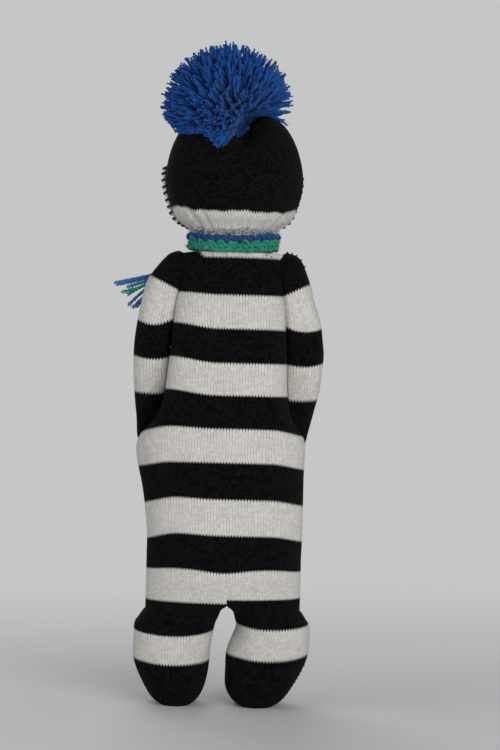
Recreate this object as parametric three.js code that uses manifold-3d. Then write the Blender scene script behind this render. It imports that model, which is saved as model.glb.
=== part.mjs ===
// A striped sock doll, stuffed and sewn by hand: a knit torso with soft arms and legs, a head whose
// two top corners stand up as lobes, a yarn pompom tied between them, and a crocheted scarf.
// Millimetres, +Z up. The doll stands on its soles and faces -Y, so its left side is at +X.
import * as THREE from "three";
import { mergeVertices } from "three/addons/utils/BufferGeometryUtils.js";
import Module from "manifold-3d";

const wasm = await Module();
wasm.setup();

// Heights that carry the whole doll
const LEG_LENGTH = 58; // floor to crotch
const TORSO_LENGTH = 213; // crotch to the gathered neck
const HEAD_HEIGHT = 76; // gathered neck to the top of the lobes

// Fabric and the clearance between soft pieces that touch
const KNIT_WALL = 1.4;
const FELT_WALL = 1.6;
const SEAM_GAP = 0.3;

// Torso
const HIP_WIDTH = 98.6;
const HIP_DEPTH = 64;
const SEAT_WIDTH = 91;
const SEAT_DEPTH = 58;
const CHEST_WIDTH = 67;
const CHEST_DEPTH = 53;
const SHOULDER_WIDTH = 62;
const SHOULDER_DEPTH = 46;
const SHOULDER_NARROWING = 2; // shoulders under the torso's flat top, against their widest
const SHOULDER_THINNING = 8; // the same in depth
const YOKE_WIDTH = 54; // flat top of the torso under the scarf
const YOKE_DEPTH = 26;
const YOKE_DROP = 6; // gathered neck down to that flat top
const BELLY_SHARE = 0.32; // where the belly is fullest, on the way from the hips to the flat top

// The body isn't sewn quite straight: it stands to the doll's left of the middle
const BODY_OFFSET = 0.8;
const BELLY_SWAY = 2.2; // more of it at the belly
const BELLY_SWAY_Z = 140;
const SWAY_ABOVE = 50; // height over which the belly's share fades out
const SWAY_BELOW = 26;

// Legs
const LEG_WIDTH = 45.6;
const LEG_DEPTH = 48;
const LEG_SPLAY = 27.5; // middle of a leg from the middle of the doll
const SOLE_WIDTH = 19;
const SOLE_DEPTH = 29;
const LEFT_FOOT_LEAN = 1.8; // foot to the doll's left of its own knee
const RIGHT_FOOT_LEAN = 3.6;
const KNEE_SPREAD = 1.2; // knees apart
const LEG_BACK_SWING = 30; // degrees
const LEG_FRONT_SWING = 60; // degrees

// Arms
const ARM_LENGTH = 116;
const ARM_WIDTH = 25;
const ARM_DEPTH = 27;
const HAND_WIDTH = 18;
const HAND_DEPTH = 19;
const HAND_FORWARD = 23; // hand in front of the shoulder
const ARM_MOUTH = 14; // opening by which an arm is sewn to the shoulder
const SHOULDER_RISE = 4.5; // top of an arm below the gathered neck
const SHOULDER_TUCK = 5.5; // inner side of an arm in from the shoulder's edge
const SHOULDER_TOP_TUCK = 7.5; // the same near the top of the arm

// Neck
const NECK_WIDTH = 40;
const NECK_CORE = 36; // ball of stuffing that the head turns on
const THREAD = 1.2; // gathering thread

// Head
const HEAD_WIDTH = 81;
const HEAD_DEPTH = 75;
const HEAD_TURN = 8; // degrees to the doll's left
const JAW_WIDTH = 53; // head just above the scarf
const JAW_DEPTH = 48;
const CLEFT_DEPTH = 15;
const CLEFT_WIDTH = 19;

// Face
const FACE_WIDTH = 92;
const FACE_HEIGHT = 50;
const FACE_RISE = 31; // middle of the face panel above the gathered neck
const FACE_EDGE = 8; // side edges of the panel in front of the middle of the head
const MUZZLE_WIDTH = 46;
const MUZZLE_HEIGHT = 31;
const MUZZLE_REACH = 19; // muzzle in front of the face panel
const MUZZLE_RISE = 24;
const EYE_DIAMETER = 11;
const EYE_THICKNESS = 2.4;
const EYE_EDGE = 0.5; // rounding of a button's edge
const EYE_SPACING = 32;
const EYE_RISE = 46;
const EYE_HOLE = 1.9;
const EYE_HOLE_SPACING = 3.8;
const NOSTRIL_DIAMETER = 4.4;
const NOSTRIL_SPACING = 17;

// Pompom
const POMPOM_DIAMETER = 75;
const POMPOM_RISE = 81; // middle of the pompom above the gathered neck
const POMPOM_BACK = 5;
const POMPOM_SIDE = 6.5;
const POMPOM_LEAN = 16; // degrees that its left side swings back behind the lobe
const TUFT_LENGTH = 5.5;
const TIE_THICKNESS = 3;
const TIE_KNOT = 7;

// Scarf
const SCARF_WIDTH = 11;
const SCARF_THICKNESS = 3.6;
const SCARF_ROWS = 3;
const SCARF_NECK_WIDTH = 54;
const SCARF_NECK_DEPTH = 49;
const SCARF_KNOT_WIDTH = 15;
const SCARF_KNOT_DEPTH = 12;
const TAIL_STAGGER = 5; // one end leaves the knot in front of the other
const TAIL_DRAPE = 3.5; // an end's hem in front of its start, over the swell of the chest
const TAIL_LENGTH = 46;
const TAIL_SLOPE = 7; // degrees below level, left tail
const TAIL_HANG = 78; // degrees below level, right tail
const FRINGE_LENGTH = 28;
const FRINGE_THICKNESS = 1.7;
const FRINGE_STRANDS = 5;
const FRINGE_SPREAD = 58; // degrees between the outer strands

// Fineness of the round forms
const SIDES = 24;
const CORE_SIDES = 12;
const RINGS = 18;

// Heights worked out from the above
const NECK_Z = LEG_LENGTH + TORSO_LENGTH;
const HIP_Z = LEG_LENGTH + SEAT_DEPTH / 2;
const YOKE_Z = NECK_Z - YOKE_DROP;
const BIG = 4 * (LEG_LENGTH + TORSO_LENGTH + HEAD_HEIGHT);

const radians = THREE.MathUtils.degToRad;
const lerp = THREE.MathUtils.lerp;

// A closed three.js geometry as a solid for joins and cuts
function solid(geometry) {
  const bare = geometry.clone();
  for (const name of Object.keys(bare.attributes)) {
    if (name !== "position") bare.deleteAttribute(name);
  }
  const merged = mergeVertices(bare, 1e-4);
  return new wasm.Manifold(
    new wasm.Mesh({
      numProp: 3,
      vertProperties: new Float32Array(merged.attributes.position.array),
      triVerts: new Uint32Array(merged.index.array),
    }),
  );
}

// The solid back as a geometry with flat-shaded normals
function geometryOf(made) {
  const mesh = made.getMesh();
  const indexed = new THREE.BufferGeometry();
  indexed.setAttribute("position", new THREE.BufferAttribute(mesh.vertProperties, mesh.numProp));
  indexed.setIndex(new THREE.BufferAttribute(mesh.triVerts, 1));
  const flat = indexed.toNonIndexed();
  flat.computeVertexNormals();
  return flat;
}

// One value of the stations at share t, on a smooth curve through them
function between(stations, key, t) {
  const place = t * (stations.length - 1);
  const i = Math.min(Math.floor(place), stations.length - 2);
  const f = place - i;
  const at = (k) => stations[THREE.MathUtils.clamp(k, 0, stations.length - 1)][key];
  const slopeIn = (at(i + 1) - at(i - 1)) / 2;
  const slopeOut = (at(i + 2) - at(i)) / 2;
  const f2 = f * f;
  const f3 = f2 * f;
  return (
    (2 * f3 - 3 * f2 + 1) * at(i) +
    (f3 - 2 * f2 + f) * slopeIn +
    (3 * f2 - 2 * f3) * at(i + 1) +
    (f3 - f2) * slopeOut
  );
}

// Stations are [z, width, depth, x, y] from the bottom up. The result is the rings of the form, each
// moved inwards by inset along the form's slope.
function ringsOf(stations, count, inset = 0) {
  const keys = [0, 1, 2, 3, 4];
  const raw = [];
  for (let k = 0; k <= count; k += 1) {
    const [z, w, d, x = 0, y = 0] = keys.map((key) => between(filled(stations), key, k / count));
    raw.push({ z, w: w / 2, d: d / 2, x, y });
  }
  return raw.map((ring, k) => {
    const below = raw[Math.max(k - 1, 0)];
    const above = raw[Math.min(k + 1, count)];
    const rise = above.z - below.z;
    const spread = (above.w + above.d - below.w - below.d) / 2;
    const slope = Math.hypot(rise, spread);
    return {
      ...ring,
      z: ring.z + (inset * spread) / slope,
      w: ring.w - (inset * rise) / slope,
      d: ring.d - (inset * rise) / slope,
    };
  });
}

function filled(stations) {
  return stations.map((s) => [s[0], s[1], s[2], s[3] ?? 0, s[4] ?? 0]);
}

// A closed form through rings of rounded section. Its ends are points, or flat where the end ring is
// wide. reach lengthens an end straight on, to open a hollow there.
function blob(stations, { inset = 0, sides = SIDES, rings = RINGS, square = 2.2, reachUp = 0, reachDown = 0 } = {}) {
  const made = ringsOf(stations, rings, inset).filter((ring) => Math.min(ring.w, ring.d) > 1.2);
  const first = made[0];
  const last = made[made.length - 1];
  if (reachDown) made.unshift({ ...first, z: first.z - reachDown });
  if (reachUp) made.push({ ...last, z: last.z + reachUp });
  const ends = endPoints(stations, inset, made, reachUp, reachDown);
  return solid(skin(made, ends, sides, square));
}

// The middle of the two end faces: a point beyond the last ring on a closed end
function endPoints(stations, inset, made, reachUp, reachDown) {
  const low = filled(stations)[0];
  const high = filled(stations)[stations.length - 1];
  const bottom = made[0];
  const top = made[made.length - 1];
  const closedLow = low[1] < 1 && !reachDown;
  const closedHigh = high[1] < 1 && !reachUp;
  return {
    bottom: { x: bottom.x, y: bottom.y, z: closedLow ? low[0] + inset : bottom.z },
    top: { x: top.x, y: top.y, z: closedHigh ? high[0] - inset : top.z },
  };
}

function skin(rings, ends, sides, square) {
  const positions = [];
  const indices = [];
  const power = 2 / square;
  for (const ring of rings) {
    for (let i = 0; i < sides; i += 1) {
      const a = (2 * Math.PI * i) / sides;
      const c = Math.cos(a);
      const s = Math.sin(a);
      positions.push(
        ring.x + ring.w * Math.sign(c) * Math.abs(c) ** power,
        ring.y + ring.d * Math.sign(s) * Math.abs(s) ** power,
        ring.z,
      );
    }
  }
  for (let k = 0; k + 1 < rings.length; k += 1) {
    for (let i = 0; i < sides; i += 1) {
      const a = k * sides + i;
      const b = k * sides + ((i + 1) % sides);
      indices.push(a, b, b + sides, a, b + sides, a + sides);
    }
  }
  const low = rings.length * sides;
  const high = low + 1;
  positions.push(ends.bottom.x, ends.bottom.y, ends.bottom.z, ends.top.x, ends.top.y, ends.top.z);
  for (let i = 0; i < sides; i += 1) {
    const j = (i + 1) % sides;
    indices.push(low, j, i);
    indices.push(high, (rings.length - 1) * sides + i, (rings.length - 1) * sides + j);
  }
  const made = new THREE.BufferGeometry();
  made.setAttribute("position", new THREE.Float32BufferAttribute(positions, 3));
  made.setIndex(indices);
  return made;
}

function box(from, to) {
  const size = to.map((v, i) => v - from[i]);
  const made = new THREE.BoxGeometry(...size);
  made.translate(...from.map((v, i) => v + size[i] / 2));
  return solid(made);
}

// A round bar along X through the given height
function barAlongX(radius, z, sides = 24) {
  const made = new THREE.CylinderGeometry(radius, radius, BIG, sides);
  made.rotateZ(Math.PI / 2);
  made.translate(0, 0, z);
  return solid(made);
}

// How far the body's middle stands to the doll's left at a height
function sway(z) {
  const reach = z > BELLY_SWAY_Z ? SWAY_ABOVE : SWAY_BELOW;
  const belly = BELLY_SWAY * Math.exp(-(((z - BELLY_SWAY_Z) / reach) ** 2));
  const straight = THREE.MathUtils.smoothstep(z, YOKE_Z - SWAY_BELOW, YOKE_Z);
  return belly + BODY_OFFSET * (1 - straight);
}

function swayed(form) {
  return form.warp((v) => {
    v[0] += sway(v[2]);
  });
}

// Torso: wide at the hips, narrow between the arms, round underneath so that the legs swing on it
const TORSO_STATIONS = [
  [LEG_LENGTH - 6, SEAT_WIDTH, SEAT_DEPTH],
  [HIP_Z, SEAT_WIDTH, SEAT_DEPTH],
  [lerp(HIP_Z, YOKE_Z, 0.17), SEAT_WIDTH + 2, lerp(SEAT_DEPTH, HIP_DEPTH, 0.5)],
  [lerp(HIP_Z, YOKE_Z, BELLY_SHARE), HIP_WIDTH - 1, HIP_DEPTH],
  [lerp(HIP_Z, YOKE_Z, 0.39), HIP_WIDTH - 3, HIP_DEPTH - 2],
  [lerp(HIP_Z, YOKE_Z, 0.455), lerp(CHEST_WIDTH, HIP_WIDTH, 0.4), HIP_DEPTH - 4],
  [lerp(HIP_Z, YOKE_Z, 0.53), CHEST_WIDTH + 6, lerp(HIP_DEPTH, CHEST_DEPTH, 0.6)],
  [lerp(HIP_Z, YOKE_Z, 0.68), CHEST_WIDTH + 2, CHEST_DEPTH + 2],
  [lerp(HIP_Z, YOKE_Z, 0.8), CHEST_WIDTH - 1, CHEST_DEPTH],
  [lerp(HIP_Z, YOKE_Z, 0.88), SHOULDER_WIDTH, SHOULDER_DEPTH],
  [
    lerp(HIP_Z, YOKE_Z, 0.95),
    SHOULDER_WIDTH - SHOULDER_NARROWING,
    SHOULDER_DEPTH - SHOULDER_THINNING,
  ],
  [YOKE_Z, YOKE_WIDTH, YOKE_DEPTH],
];

function torsoForm(inset, fine = true, reachUp = 0) {
  const detail = fine ? { sides: SIDES, rings: 19 } : { sides: CORE_SIDES, rings: 10 };
  const column = blob(TORSO_STATIONS, { inset, reachUp, ...detail });
  const above = box([-BIG, -BIG, HIP_Z], [BIG, BIG, BIG]);
  const underneath = barAlongX(SEAT_DEPTH / 2 - inset, HIP_Z);
  return swayed(column.intersect(above.add(underneath)));
}

// Leg: a short stuffed tube with a rounded toe end that stands on a small flat sole
function legStations(side) {
  const x = side * LEG_SPLAY;
  const crotchX = (side * (SEAT_WIDTH + 2 * SEAM_GAP)) / 4;
  const crotchWidth = SEAT_WIDTH / 2 - 2 * SEAM_GAP;
  const foot = x + (side > 0 ? LEFT_FOOT_LEAN : RIGHT_FOOT_LEAN);
  const knee = x + side * KNEE_SPREAD;
  const forward = -2;
  return [
    [0, SOLE_WIDTH, SOLE_DEPTH, foot - side * 2.8, forward],
    [LEG_LENGTH * 0.07, LEG_WIDTH * 0.64, LEG_DEPTH * 0.76, foot - side * 2.4, forward],
    [LEG_LENGTH * 0.22, LEG_WIDTH * 0.84, LEG_DEPTH * 0.92, foot - side * 1.6, forward],
    [LEG_LENGTH * 0.48, LEG_WIDTH, LEG_DEPTH, lerp(foot, knee, 0.4), forward],
    [LEG_LENGTH * 0.78, LEG_WIDTH * 0.98, LEG_DEPTH, knee, -1],
    [LEG_LENGTH, crotchWidth, LEG_DEPTH, crotchX, 0],
    [LEG_LENGTH + SEAT_DEPTH * 0.25, crotchWidth, LEG_DEPTH, crotchX, 0],
    [HIP_Z, crotchWidth, LEG_DEPTH, crotchX, 0],
  ];
}

function legForm(side, inset, fine = true, reachUp = 0) {
  const detail = fine ? { sides: 18, rings: 11 } : { sides: 10, rings: 6 };
  return swayed(blob(legStations(side), { inset, reachUp, ...detail }));
}

// What the round seat needs free as a leg swings: the seat itself, and the belly and the back of the
// torso as the leg sees them at the two ends of its swing
function swingRoom() {
  const seat = barAlongX(SEAT_DEPTH / 2 + SEAM_GAP, HIP_Z, 36);
  const belly = sweptWall(1, LEG_FRONT_SWING);
  const back = sweptWall(-1, LEG_BACK_SWING);
  return seat.add(belly).add(back);
}

function sweptWall(direction, degrees) {
  const reach = SEAT_DEPTH / 2 + SEAM_GAP;
  const flare = Math.atan((HIP_DEPTH - SEAT_DEPTH) / 2 / (BELLY_SHARE * (YOKE_Z - HIP_Z)));
  const wall = new THREE.BoxGeometry(BIG, reach, BIG);
  wall.translate(0, (-direction * reach) / 2, BIG / 2);
  wall.rotateX(direction * (radians(degrees) + flare));
  wall.translate(0, 0, HIP_Z);
  return solid(wall);
}

// Arm: a thin stuffed tube that hangs from the shoulder, with the hand in front of the hip
function armStations(side) {
  const top = NECK_Z - SHOULDER_RISE;
  const at = (share) => top - ARM_LENGTH * share;
  const x = (inner, width) => side * (inner + width / 2);
  const chest = CHEST_WIDTH / 2;
  const shoulder = SHOULDER_WIDTH / 2;
  return [
    [at(1), 0, 0, x(chest - 2, HAND_WIDTH * 0.8), -HAND_FORWARD],
    [at(0.96), HAND_WIDTH * 0.8, HAND_DEPTH * 0.8, x(chest - 2, HAND_WIDTH * 0.8), -HAND_FORWARD * 0.96],
    [at(0.86), HAND_WIDTH, HAND_DEPTH, x(chest - 2, HAND_WIDTH), -HAND_FORWARD * 0.78],
    [at(0.74), ARM_WIDTH * 0.87, ARM_DEPTH * 0.86, x(chest - 1, ARM_WIDTH * 0.87), -HAND_FORWARD * 0.52],
    [at(0.62), ARM_WIDTH * 0.96, ARM_DEPTH * 0.93, x(chest - 1.5, ARM_WIDTH), -HAND_FORWARD * 0.32],
    [at(0.48), ARM_WIDTH, ARM_DEPTH * 0.97, x(chest - 2.5, ARM_WIDTH), -HAND_FORWARD * 0.16],
    [at(0.32), ARM_WIDTH, ARM_DEPTH, x(chest - 4.5, ARM_WIDTH), -HAND_FORWARD * 0.06],
    [at(0.18), ARM_WIDTH * 0.98, ARM_DEPTH, x(shoulder - SHOULDER_TUCK, ARM_WIDTH), 0],
    [at(0.08), ARM_WIDTH * 0.8, ARM_DEPTH * 0.86, x(shoulder - SHOULDER_TOP_TUCK, ARM_WIDTH * 0.8), 0],
    [at(0), 0, 0, side * (shoulder + 1), 0],
  ];
}

function armForm(side, inset, fine = true) {
  const detail = fine ? { sides: 14, rings: 14 } : { sides: 8, rings: 8 };
  return swayed(blob(armStations(side), { inset, ...detail }));
}

// The opening at the top of an arm, on the side that is sewn to the torso
function armMouth(side, inset) {
  const radius = ARM_MOUTH / 2 - inset;
  const made = new THREE.CylinderGeometry(radius, radius, ARM_WIDTH, 14);
  made.rotateZ(Math.PI / 2);
  made.translate((side * SHOULDER_WIDTH) / 2, 0, NECK_Z - SHOULDER_RISE - ARM_MOUTH);
  return solid(made);
}

// Head, in a frame whose origin is the gathered neck. Its two top corners stand up as lobes.
const HEAD_STATIONS = [
  [THREAD + SEAM_GAP, NECK_WIDTH, NECK_WIDTH],
  [SCARF_WIDTH / 2 + 0.4, NECK_WIDTH + 1, NECK_WIDTH + 1],
  [SCARF_WIDTH / 2 + 3.6, JAW_WIDTH, JAW_DEPTH],
  [HEAD_HEIGHT * 0.19, lerp(JAW_WIDTH, HEAD_WIDTH, 0.52), lerp(JAW_DEPTH, HEAD_DEPTH, 0.5)],
  [HEAD_HEIGHT * 0.3, lerp(JAW_WIDTH, HEAD_WIDTH, 0.78), lerp(JAW_DEPTH, HEAD_DEPTH, 0.8)],
  [HEAD_HEIGHT * 0.47, HEAD_WIDTH, HEAD_DEPTH],
  [HEAD_HEIGHT * 0.62, HEAD_WIDTH * 0.985, HEAD_DEPTH * 0.97],
  [HEAD_HEIGHT * 0.77, HEAD_WIDTH * 0.905, HEAD_DEPTH * 0.86],
  [HEAD_HEIGHT * 0.9, HEAD_WIDTH * 0.76, HEAD_DEPTH * 0.68],
  [HEAD_HEIGHT * 0.98, HEAD_WIDTH * 0.55, HEAD_DEPTH * 0.47],
  [HEAD_HEIGHT * 1.015, HEAD_WIDTH * 0.3, HEAD_DEPTH * 0.25],
  [HEAD_HEIGHT * 1.02, 0, 0],
];

function cleft(geometrySolid) {
  return geometrySolid.warp((v) => {
    const rise = THREE.MathUtils.smoothstep(v[2], HEAD_HEIGHT * 0.5, HEAD_HEIGHT);
    const nearMiddle = Math.exp(-((v[0] / (CLEFT_WIDTH / 2)) ** 2));
    v[2] -= CLEFT_DEPTH * rise * nearMiddle;
  });
}

function headForm(inset, fine = true, reachDown = 0) {
  const detail = fine ? { sides: 24, rings: 18 } : { sides: 20, rings: 12 };
  return cleft(blob(HEAD_STATIONS, { inset, reachDown, square: 2.1, ...detail }));
}

// Face panel: an oval of felt that wraps the front of the head
function faceForm() {
  const oval = new THREE.CylinderGeometry(1, 1, BIG, 28);
  oval.scale(FACE_WIDTH / 2, 1, FACE_HEIGHT / 2);
  oval.translate(0, -BIG / 2 - FACE_EDGE, FACE_RISE);
  const layer = headForm(-SEAM_GAP - FELT_WALL).subtract(headForm(-SEAM_GAP));
  return layer.intersect(solid(oval));
}

// Muzzle: a stuffed dome on the lower part of the face panel
function muzzleForm(inset, fine = true) {
  const front = HEAD_DEPTH / 2 + FELT_WALL + MUZZLE_REACH;
  const reach = front - HEAD_DEPTH * 0.3 - inset;
  const profile = [new THREE.Vector2(0, 0), new THREE.Vector2(1, 0)];
  const steps = fine ? 6 : 4;
  for (let k = 1; k <= steps; k += 1) {
    const a = (Math.PI / 2) * (k / steps);
    profile.push(new THREE.Vector2(k === steps ? 0 : Math.cos(a) ** 0.75, lerp(0.35, 1, Math.sin(a))));
  }
  const dome = new THREE.LatheGeometry(profile, fine ? 20 : 14);
  dome.scale(MUZZLE_WIDTH / 2 - inset, reach, MUZZLE_HEIGHT / 2 - inset);
  dome.rotateX(Math.PI);
  dome.translate(0, -HEAD_DEPTH * 0.3, MUZZLE_RISE);
  return solid(dome);
}

// The front of the face panel or the muzzle at a place on it, as y
function frontOf(form, x, z) {
  const probe = box([x - 0.4, -BIG, z - 0.4], [x + 0.4, 0, z + 0.4]);
  return form.intersect(probe).boundingBox().min[1];
}

function placed(geometry, x, y, z) {
  geometry.translate(x, y, z);
  return solid(geometry);
}

// Eye: a flat two-hole button, and the thread that runs through its holes. Both are drawn with the
// back of the button at the origin and its front towards -Y.
function eyeButton() {
  const edge = EYE_EDGE;
  const shape = new THREE.Shape().absarc(0, 0, EYE_DIAMETER / 2 - edge, 0, 2 * Math.PI);
  for (const sign of [-1, 1]) {
    const x = (sign * EYE_HOLE_SPACING) / 2;
    shape.holes.push(new THREE.Path().absarc(x, 0, EYE_HOLE / 2 + edge, 0, 2 * Math.PI, true));
  }
  const made = new THREE.ExtrudeGeometry(shape, {
    depth: EYE_THICKNESS - 2 * edge,
    bevelThickness: edge,
    bevelSize: edge,
    bevelSegments: 1,
    curveSegments: 5,
  });
  made.translate(0, 0, edge);
  made.rotateX(Math.PI / 2);
  return made;
}

function eyeThread() {
  const bar = (EYE_HOLE - 2 * SEAM_GAP - 0.3) / 2;
  const half = EYE_HOLE_SPACING / 2 + bar;
  const leg = EYE_THICKNESS + SEAM_GAP;
  const shape = new THREE.Shape();
  shape.moveTo(-half, 0);
  shape.lineTo(-half, leg + 2 * bar);
  shape.lineTo(half, leg + 2 * bar);
  shape.lineTo(half, 0);
  shape.lineTo(half - 2 * bar, 0);
  shape.lineTo(half - 2 * bar, leg);
  shape.lineTo(-half + 2 * bar, leg);
  shape.lineTo(-half + 2 * bar, 0);
  const made = new THREE.ExtrudeGeometry(shape, { depth: 2 * bar, bevelEnabled: false });
  made.translate(0, 0, -bar);
  made.rotateX(Math.PI);
  return made;
}

// Lays a piece, drawn facing -Y, flat on a rounded form where the form shows at x and z
function seated(geometry, form, x, z, reach) {
  const left = frontOf(form, x - reach, z);
  const right = frontOf(form, x + reach, z);
  const low = frontOf(form, x, z - reach);
  const high = frontOf(form, x, z + reach);
  const alongX = new THREE.Vector3(2 * reach, right - left, 0).normalize();
  const alongZ = new THREE.Vector3(0, high - low, 2 * reach).normalize();
  const out = alongX.clone().cross(alongZ).normalize();
  const up = out.clone().negate().cross(alongX).negate();
  const turn = new THREE.Matrix4().makeBasis(alongX, out.clone().negate(), up);
  geometry.applyMatrix4(turn);
  geometry.translate(x, frontOf(form, x, z) - SEAM_GAP, z);
  return solid(geometry);
}

// Pompom: a ball of cut yarn whose tufts stand out all over it
function pompomForm() {
  const made = new THREE.IcosahedronGeometry(POMPOM_DIAMETER / 2 - TUFT_LENGTH, 4);
  const p = made.attributes.position;
  const positions = [];
  for (let i = 0; i < p.count; i += 3) {
    const corners = [0, 1, 2].map((k) => new THREE.Vector3().fromBufferAttribute(p, i + k));
    const tip = corners[0].clone().add(corners[1]).add(corners[2]).normalize();
    const lean = 0.8 + 0.2 * Math.sin(12.9 * tip.x + 7.3 * tip.y + 5.1 * tip.z);
    tip.multiplyScalar(POMPOM_DIAMETER / 2 - TUFT_LENGTH + TUFT_LENGTH * lean);
    for (let k = 0; k < 3; k += 1) {
      positions.push(...corners[k].toArray(), ...corners[(k + 1) % 3].toArray(), ...tip.toArray());
    }
  }
  const tufted = new THREE.BufferGeometry();
  tufted.setAttribute("position", new THREE.Float32BufferAttribute(positions, 3));
  const lean = Math.tan(radians(POMPOM_LEAN));
  const ball = solid(tufted).warp((v) => {
    v[1] += lean * v[0];
  });
  return ball.translate(POMPOM_SIDE, POMPOM_BACK, POMPOM_RISE);
}

// The yarn that ties the pompom's waist and holds it down in the cleft, with its knot inside the head
function tieForm(inset) {
  const radius = TIE_THICKNESS / 2 - inset;
  const knot = TIE_KNOT / 2 - inset;
  const top = POMPOM_RISE;
  const bottom = HEAD_HEIGHT - CLEFT_DEPTH - KNIT_WALL - TIE_KNOT;
  const profile = [
    new THREE.Vector2(0, bottom + inset),
    new THREE.Vector2(knot * 0.7, bottom + inset + knot * 0.3),
    new THREE.Vector2(knot, bottom + TIE_KNOT * 0.4),
    new THREE.Vector2(knot * 0.7, bottom + TIE_KNOT * 0.75),
    new THREE.Vector2(radius, bottom + TIE_KNOT),
    new THREE.Vector2(radius, top - 1.5 * TIE_THICKNESS),
    new THREE.Vector2(radius + 1, top - TIE_THICKNESS),
    new THREE.Vector2(radius + 1, top - inset),
    new THREE.Vector2(0, top - inset),
  ];
  const turned = new THREE.LatheGeometry(profile, 10);
  turned.rotateX(Math.PI / 2);
  const stem = solid(turned);
  return stem.warp((v) => {
    const share = THREE.MathUtils.smoothstep(v[2], HEAD_HEIGHT - CLEFT_DEPTH, POMPOM_RISE);
    v[0] += POMPOM_SIDE * share;
    v[1] += POMPOM_BACK * share;
  });
}

// Section of the crocheted strip, width by thickness, with one rounded rib for each row of stitches
function stripSection(width, thickness) {
  const points = [];
  const rows = SCARF_ROWS;
  for (const face of [1, -1]) {
    for (let r = 0; r < rows; r += 1) {
      for (const share of [0, 0.5]) {
        const across = (r + share) / rows;
        const bulge = share === 0.5 ? 0.5 : 0.36;
        points.push([face * (across - 0.5) * width, face * bulge * thickness]);
      }
    }
    points.push([face * 0.5 * width, face * 0.34 * thickness]);
  }
  return points.reverse();
}

// A section carried along frames of {at, across, out}, closed at its ends or back on itself
function sweep(frames, section, loop = false) {
  const positions = [];
  const indices = [];
  const n = section.length;
  for (const { at, across, out } of frames) {
    for (const [a, b] of section) {
      positions.push(...at.clone().addScaledVector(across, a).addScaledVector(out, b).toArray());
    }
  }
  const spans = loop ? frames.length : frames.length - 1;
  for (let k = 0; k < spans; k += 1) {
    const next = ((k + 1) % frames.length) * n;
    for (let i = 0; i < n; i += 1) {
      const j = (i + 1) % n;
      indices.push(k * n + i, k * n + j, next + j, k * n + i, next + j, next + i);
    }
  }
  if (!loop) {
    const last = frames.length - 1;
    const low = positions.length / 3;
    positions.push(...frames[0].at.toArray(), ...frames[last].at.toArray());
    for (let i = 0; i < n; i += 1) {
      const j = (i + 1) % n;
      indices.push(low, j, i, low + 1, last * n + i, last * n + j);
    }
  }
  const made = new THREE.BufferGeometry();
  made.setAttribute("position", new THREE.Float32BufferAttribute(positions, 3));
  made.setIndex(indices);
  return solid(made);
}

// The loop of the scarf round the neck
function scarfWrap() {
  const frames = [];
  const count = 28;
  const z = YOKE_Z + SEAM_GAP + SCARF_WIDTH / 2;
  for (let k = 0; k < count; k += 1) {
    const a = (2 * Math.PI * k) / count;
    const out = new THREE.Vector3(Math.cos(a), Math.sin(a), 0);
    const at = new THREE.Vector3(
      (SCARF_NECK_WIDTH / 2 - SCARF_THICKNESS / 2) * out.x,
      (SCARF_NECK_DEPTH / 2 - SCARF_THICKNESS / 2) * out.y,
      z,
    );
    frames.push({ at, across: new THREE.Vector3(0, 0, 1), out });
  }
  return sweep(frames, stripSection(SCARF_WIDTH, SCARF_THICKNESS), true);
}

const KNOT_Y = -(SCARF_NECK_DEPTH + SCARF_KNOT_DEPTH) / 2 - SEAM_GAP;
const KNOT_Z = YOKE_Z - SCARF_WIDTH * 0.36;

// The single knot in front, a turn of the strip round itself
function scarfKnot() {
  const frames = [];
  const count = 10;
  const radius = SCARF_KNOT_WIDTH / 2 - SCARF_THICKNESS / 2;
  for (let k = 0; k < count; k += 1) {
    const a = (2 * Math.PI * k) / count;
    const out = new THREE.Vector3(Math.cos(a), 0, Math.sin(a));
    const at = out.clone().multiplyScalar(radius);
    frames.push({ at, across: new THREE.Vector3(0, 1, 0), out });
  }
  const turn = sweep(frames, stripSection(SCARF_KNOT_DEPTH, SCARF_THICKNESS).reverse(), true);
  const middle = new THREE.SphereGeometry(1, 12, 6);
  middle.scale(radius, SCARF_KNOT_DEPTH * 0.42, radius);
  return turn.add(solid(middle)).translate(0, KNOT_Y, KNOT_Z);
}

// The left end lies in front of the right one, so that they pass each other
function tailY(side) {
  return KNOT_Y - (side * TAIL_STAGGER) / 2;
}

// A hanging end of the scarf: it leaves the knot at an angle below level and widens to its hem
function scarfTail(side, slope) {
  const frames = [];
  const count = 9;
  const start = SCARF_KNOT_WIDTH / 2 + SEAM_GAP;
  const along = new THREE.Vector3(side * Math.cos(radians(slope)), 0, -Math.sin(radians(slope)));
  const across = new THREE.Vector3(side * Math.sin(radians(slope)), 0, Math.cos(radians(slope)));
  for (let k = 0; k <= count; k += 1) {
    const share = k / count;
    const ripple = 0.6 * Math.sin(share * Math.PI * 2.5);
    const at = new THREE.Vector3(0, tailY(side) - TAIL_DRAPE * share + ripple, KNOT_Z);
    at.addScaledVector(along, start + TAIL_LENGTH * share);
    const gather = lerp(0.72, 1, THREE.MathUtils.smoothstep(share, 0, 0.5));
    const out = new THREE.Vector3(0, -side, 0);
    frames.push({ at, across: across.clone().multiplyScalar(gather), out });
  }
  return sweep(frames, stripSection(SCARF_WIDTH, SCARF_THICKNESS * 0.9));
}

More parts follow.
